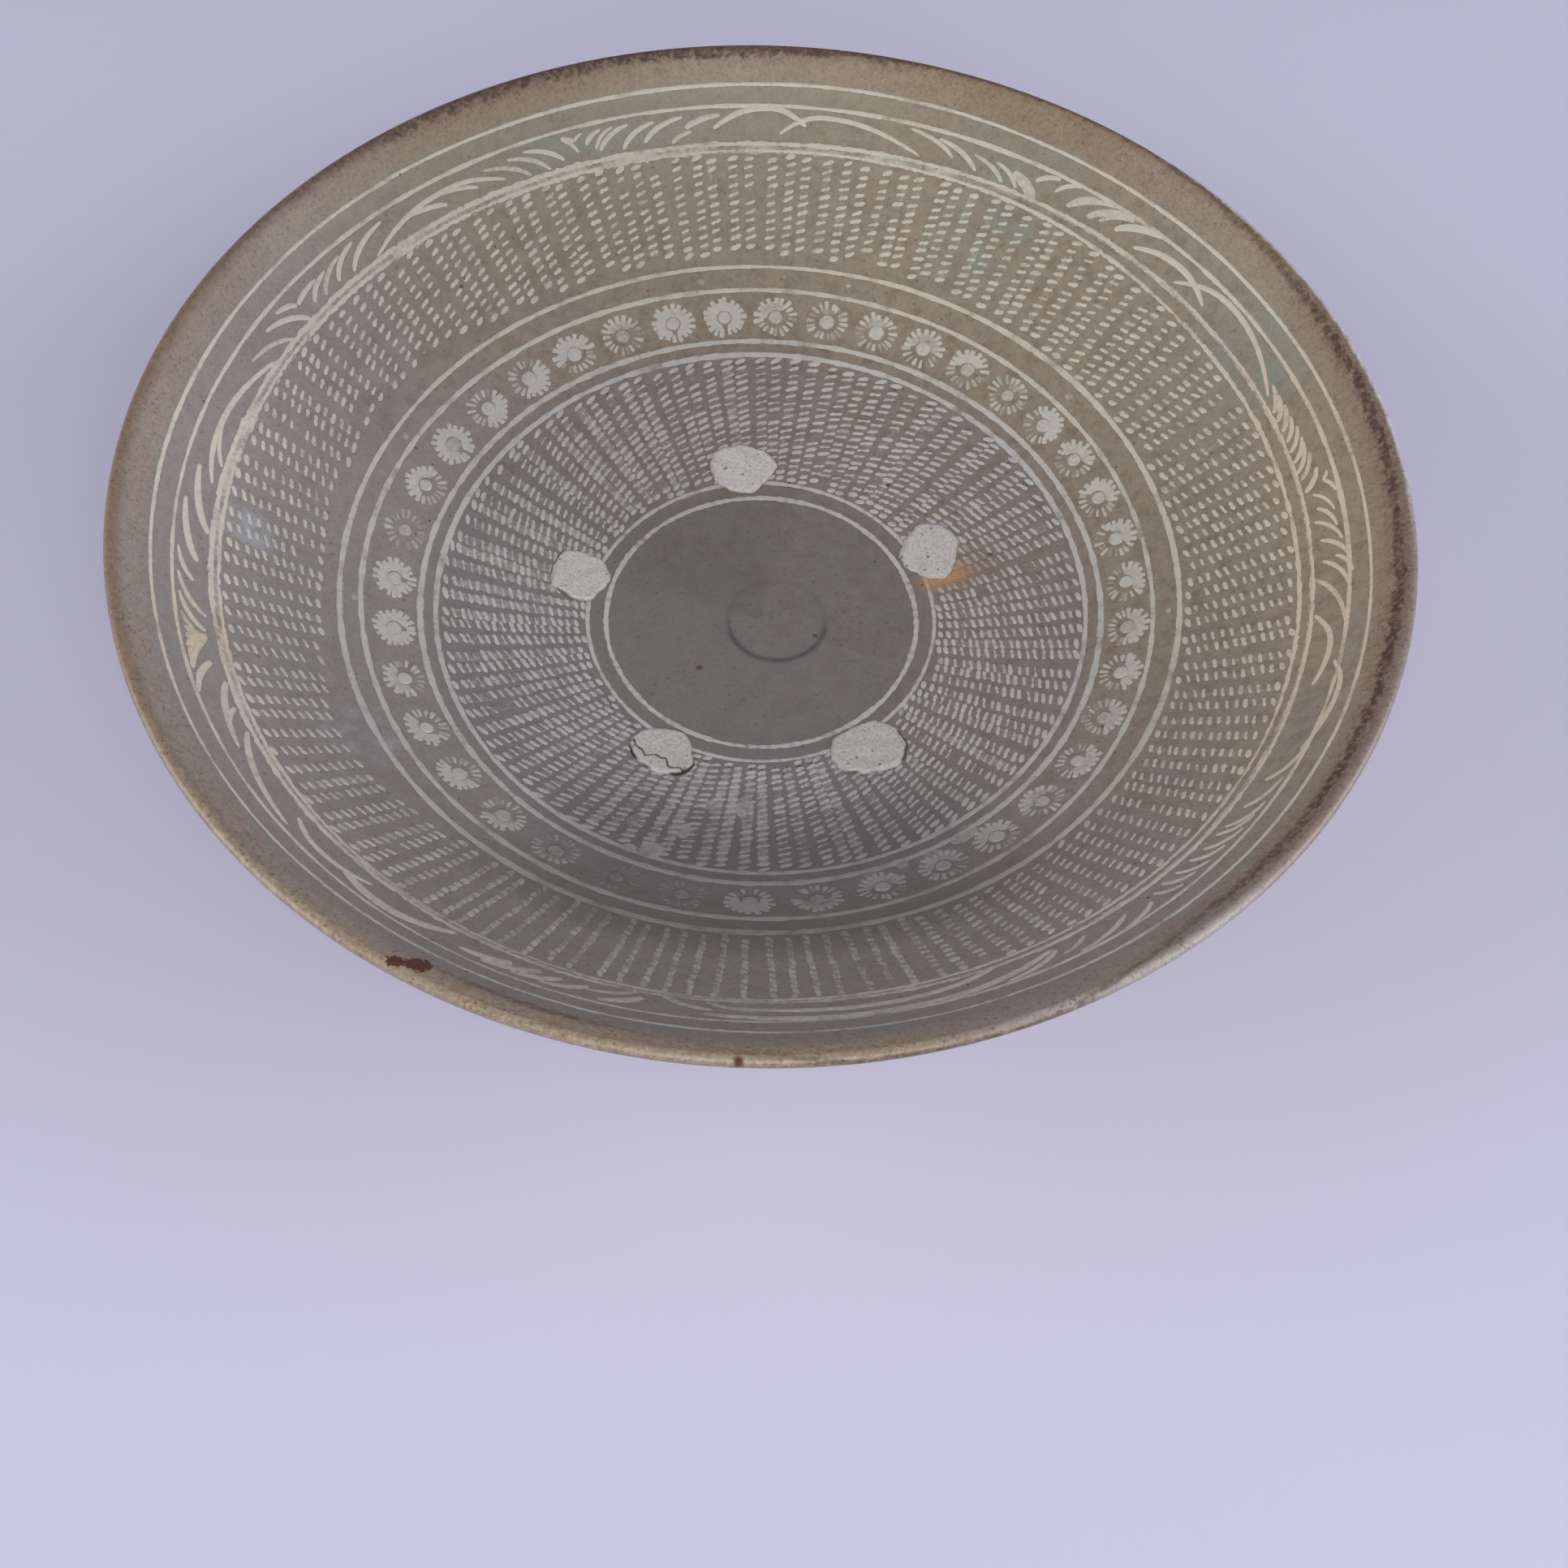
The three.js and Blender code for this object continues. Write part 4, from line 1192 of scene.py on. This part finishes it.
# A pad's outline has waves, each with its number round the pad and its height, and its top has dents
PAD_WAVES = [(2, 0.05), (3, 0.06), (4, 0.04), (5, 0.04), (9, 0.022), (17, 0.014)]
PAD_DENTS = [(4, 1.5), (-3, 5), (8, -6)]
DENT_DEPTH = 0.07
# About a full turn in radians, for random phases
ANY_PHASE = 6.3


def pad_crack(number, share, u):
    """How dark the cracks are at a share of the way out and the angle u: round the pad, and across it."""
    a = share * np.cos(u)
    b = share * np.sin(u)
    facing_out = smooth(np.cos(u - 0.3), -0.2, 0.5)
    broken = smooth(np.sin(3 * u + number) + 0.7 * np.sin(8 * u + 2 * number), -0.7, 0.3)
    around = CRACKED[number] * facing_out * broken * (share > 0.95)
    off = np.abs(a - 0.45 - 0.12 * np.sin(7 * b + number) - 0.05 * np.sin(17 * b))
    across = (number in SPLIT) * smooth(0.05 - off, 0, 0.03) * (share > 0.3)
    return np.concatenate([[0], (around + across).ravel(), [0]])


def make_pads(material):
    """Each pad is a low rough cake: its outline wavers, its edge is rounded and its top is granular."""
    for number, (length, width) in PAD_SIZES.items():
        chance = np.random.default_rng(700 + number)
        node = f"spur_pad_{number}"
        r, angle = cad_place(node)
        u = 2 * np.pi * np.arange(PAD_AROUND) / PAD_AROUND
        outline = 1 + sum(chance.uniform(0.3, 1) * size * np.sin(n * u + chance.uniform(0, ANY_PHASE))
                          for n, size in PAD_WAVES)
        share = np.linspace(1, 0.04, PAD_RINGS)[:, None]
        top = PAD_HEIGHT * smooth(1.06 - share, 0, 0.2)
        grain = chance.normal(0, PAD_GRAIN, (PAD_RINGS, PAD_AROUND)) * smooth(share, 0.05, 0.4)
        a = share * np.cos(u)
        b = share * np.sin(u)
        dents = sum(DENT_DEPTH * np.sin(m * a + n * b + chance.uniform(0, ANY_PHASE)) for m, n in PAD_DENTS)
        lift = top + (grain + dents) * smooth(1 - share, 0, 0.1) - PAD_EDGE_SINK * (share > 0.99)
        outward = share * outline * np.cos(u) * width / 2 * math.cos(well_slope(r))
        sideways = share * outline * np.sin(u) * length / 2
        rows = on_well(r + outward, angle + np.degrees(sideways / r), lift)
        low = on_well(np.array([r]), np.array([angle]), -SLIP_DEPTH)
        high = on_well(np.array([r]), np.array([angle]), PAD_HEIGHT)
        crack = pad_crack(number, share, u)
        points = np.concatenate([low, rows.reshape(-1, 3), high])
        faces = skin_faces(PAD_RINGS, PAD_AROUND)
        name = f"stacking_pad_{number}"
        add_piece(name, points, faces, material, [node], {"crack": crack})


# Iron spots read on the bowl: angle, radius, size. The loose ones are scattered
IRON_SPOTS = [(18.5, 51, 1.3), (53, 44.5, 1), (134.5, 96, 1), (306.5, 89, 1.1), (226, 18, 1.3),
              (342, 12, 1.0)]
LOOSE_SPOTS = 70
SPOT_LIFT = 0.05


def make_iron_spots(material):
    chance = np.random.default_rng(42)
    angle, r, size = np.array(IRON_SPOTS).T
    angle = np.concatenate([angle, chance.uniform(0, 360, LOOSE_SPOTS)])
    r = np.concatenate([r, np.sqrt(chance.uniform(5, 119 ** 2, LOOSE_SPOTS))])
    size = np.concatenate([size, chance.uniform(0.3, 0.6, LOOSE_SPOTS)])
    marks = Marks()
    pebbles(marks, r, angle, size * 1.2, size, chance.uniform(0, 90, len(r)), np.ones(len(r)), SPOT_LIFT)
    marks.make("iron_spots", material, [])


# The camera stands in front of the bowl and above it, at the photograph's angle
CAMERA_TARGET_HEIGHT = RIM_HEIGHT - LIP_RADIUS
CAMERA_DISTANCE = 419.95
CAMERA_RISE = 49.186
CAMERA_YAW = -0.01298
CAMERA_PITCH = 0.1428
CAMERA_ROLL = 2.851
SENSOR = 36.0
FOCAL_LENGTH = 49.594


def add_camera():
    """Aimed from the given distance and rise at the bowl's lip plane, then turned a little and rolled."""
    rise = math.radians(CAMERA_RISE)
    back = Vector((0, -math.cos(rise), math.sin(rise)))
    right = Vector((1, 0, 0))
    turned = (back + CAMERA_YAW * right + CAMERA_PITCH * back.cross(right)).normalized()
    level = Vector((0, 0, 1)).cross(turned).normalized()
    upright = turned.cross(level)
    roll = math.radians(CAMERA_ROLL)
    across = level * math.cos(roll) + upright * math.sin(roll)
    up = upright * math.cos(roll) - level * math.sin(roll)
    data = bpy.data.cameras.new("camera")
    data.sensor_fit = "HORIZONTAL"
    data.sensor_width = SENSOR
    data.lens = FOCAL_LENGTH
    data.clip_start = 0.01
    camera = bpy.data.objects.new("camera", data)
    camera.matrix_world = Matrix((across, up, turned)).transposed().to_4x4()
    camera.location = (back * CAMERA_DISTANCE + Vector((0, 0, CAMERA_TARGET_HEIGHT))) * MM
    bpy.context.scene.collection.objects.link(camera)
    bpy.context.scene.camera = camera


# Soft lamps before the bowl and to its left and right: name, place and size in metres, and power
LAMPS = [
    ("front_lamp", (0.1, -1.05, 1.05), 1.0, 11),
    ("left_lamp", (-1.35, -0.25, 0.6), 1.2, 12),
    ("right_lamp", (1.35, -0.25, 0.6), 1.2, 14),
]
# Half the floor's side in metres, and between which radii in millimetres the camera sees it fade
FLOOR_HALF = 3.0
FLOOR_FADE = (340, 680)
AIR_TINT = tone(236, 240, 250)
AIR_STRENGTH = 0.2


def add_lamp(name, place, size, power):
    """A square lamp at a place in metres, aimed at the bowl."""
    data = bpy.data.lights.new(name, "AREA")
    data.shape = "SQUARE"
    data.size = size
    data.energy = power
    lamp = bpy.data.objects.new(name, data)
    lamp.location = place
    lamp.rotation_euler = Vector(place).to_track_quat("Z", "Y").to_euler()
    lamp.visible_camera = False
    bpy.context.scene.collection.objects.link(lamp)


def add_floor():
    """A wide pale floor. Away from the bowl the camera sees it melt into the air's colour."""
    finish, paint = new_finish("floor")
    lit = paint.node("ShaderNodeBsdfPrincipled", {}, {"Base Color": FLOOR_LAVENDER, "Roughness": 0.8})
    plain = paint.node("ShaderNodeEmission", {}, {"Color": FLOOR_LAVENDER, "Strength": 1.0})
    away = paint.r.step(*FLOOR_FADE) * paint.ray("Camera")
    shader = paint.node("ShaderNodeMixShader", {}, {0: away, 1: lit, 2: plain})
    paint.node("ShaderNodeOutputMaterial", {}, {0: shader})
    mesh = bpy.data.meshes.new("floor")
    corners = [(FLOOR_HALF * x, FLOOR_HALF * y, 0) for x, y in ((-1, -1), (1, -1), (1, 1), (-1, 1))]
    mesh.from_pydata(corners, [], [(0, 1, 2, 3)])
    mesh.materials.append(finish)
    floor = bpy.data.objects.new("floor", mesh)
    bpy.context.scene.collection.objects.link(floor)


def add_air():
    """Pale air: a plain backdrop to the camera and in reflections, and weak light for the rest."""
    world = bpy.data.worlds.new("air")
    bpy.context.scene.world = world
    paint = Paint(world)
    seen = paint.ray("Camera").larger(paint.ray("Glossy")).larger(paint.ray("Transmission"))
    air = paint.node("ShaderNodeBackground", {}, {"Color": AIR_TINT, "Strength": AIR_STRENGTH})
    view = paint.node("ShaderNodeBackground", {}, {"Color": FLOOR_LAVENDER, "Strength": 1.0})
    mixed = paint.node("ShaderNodeMixShader", {}, {0: seen, 1: air, 2: view})
    paint.node("ShaderNodeOutputWorld", {}, {0: mixed})


add_camera()
add_floor()
for lamp in LAMPS:
    add_lamp(*lamp)
add_air()
bpy.context.scene.view_settings.view_transform = "Standard"
slip = make_slip()
outer_curtain_line = cad_radius("outer_curtain")
make_body(make_stoneware())
make_ring_lines(slip)
make_grass(slip, outer_curtain_line + FRIEZE_LINE_GAP)
make_curtains(slip, outer_curtain_line, cad_radius("inner_curtain"))
make_flowers(slip)
make_pads(make_stacking_clay())
make_iron_spots(make_iron())
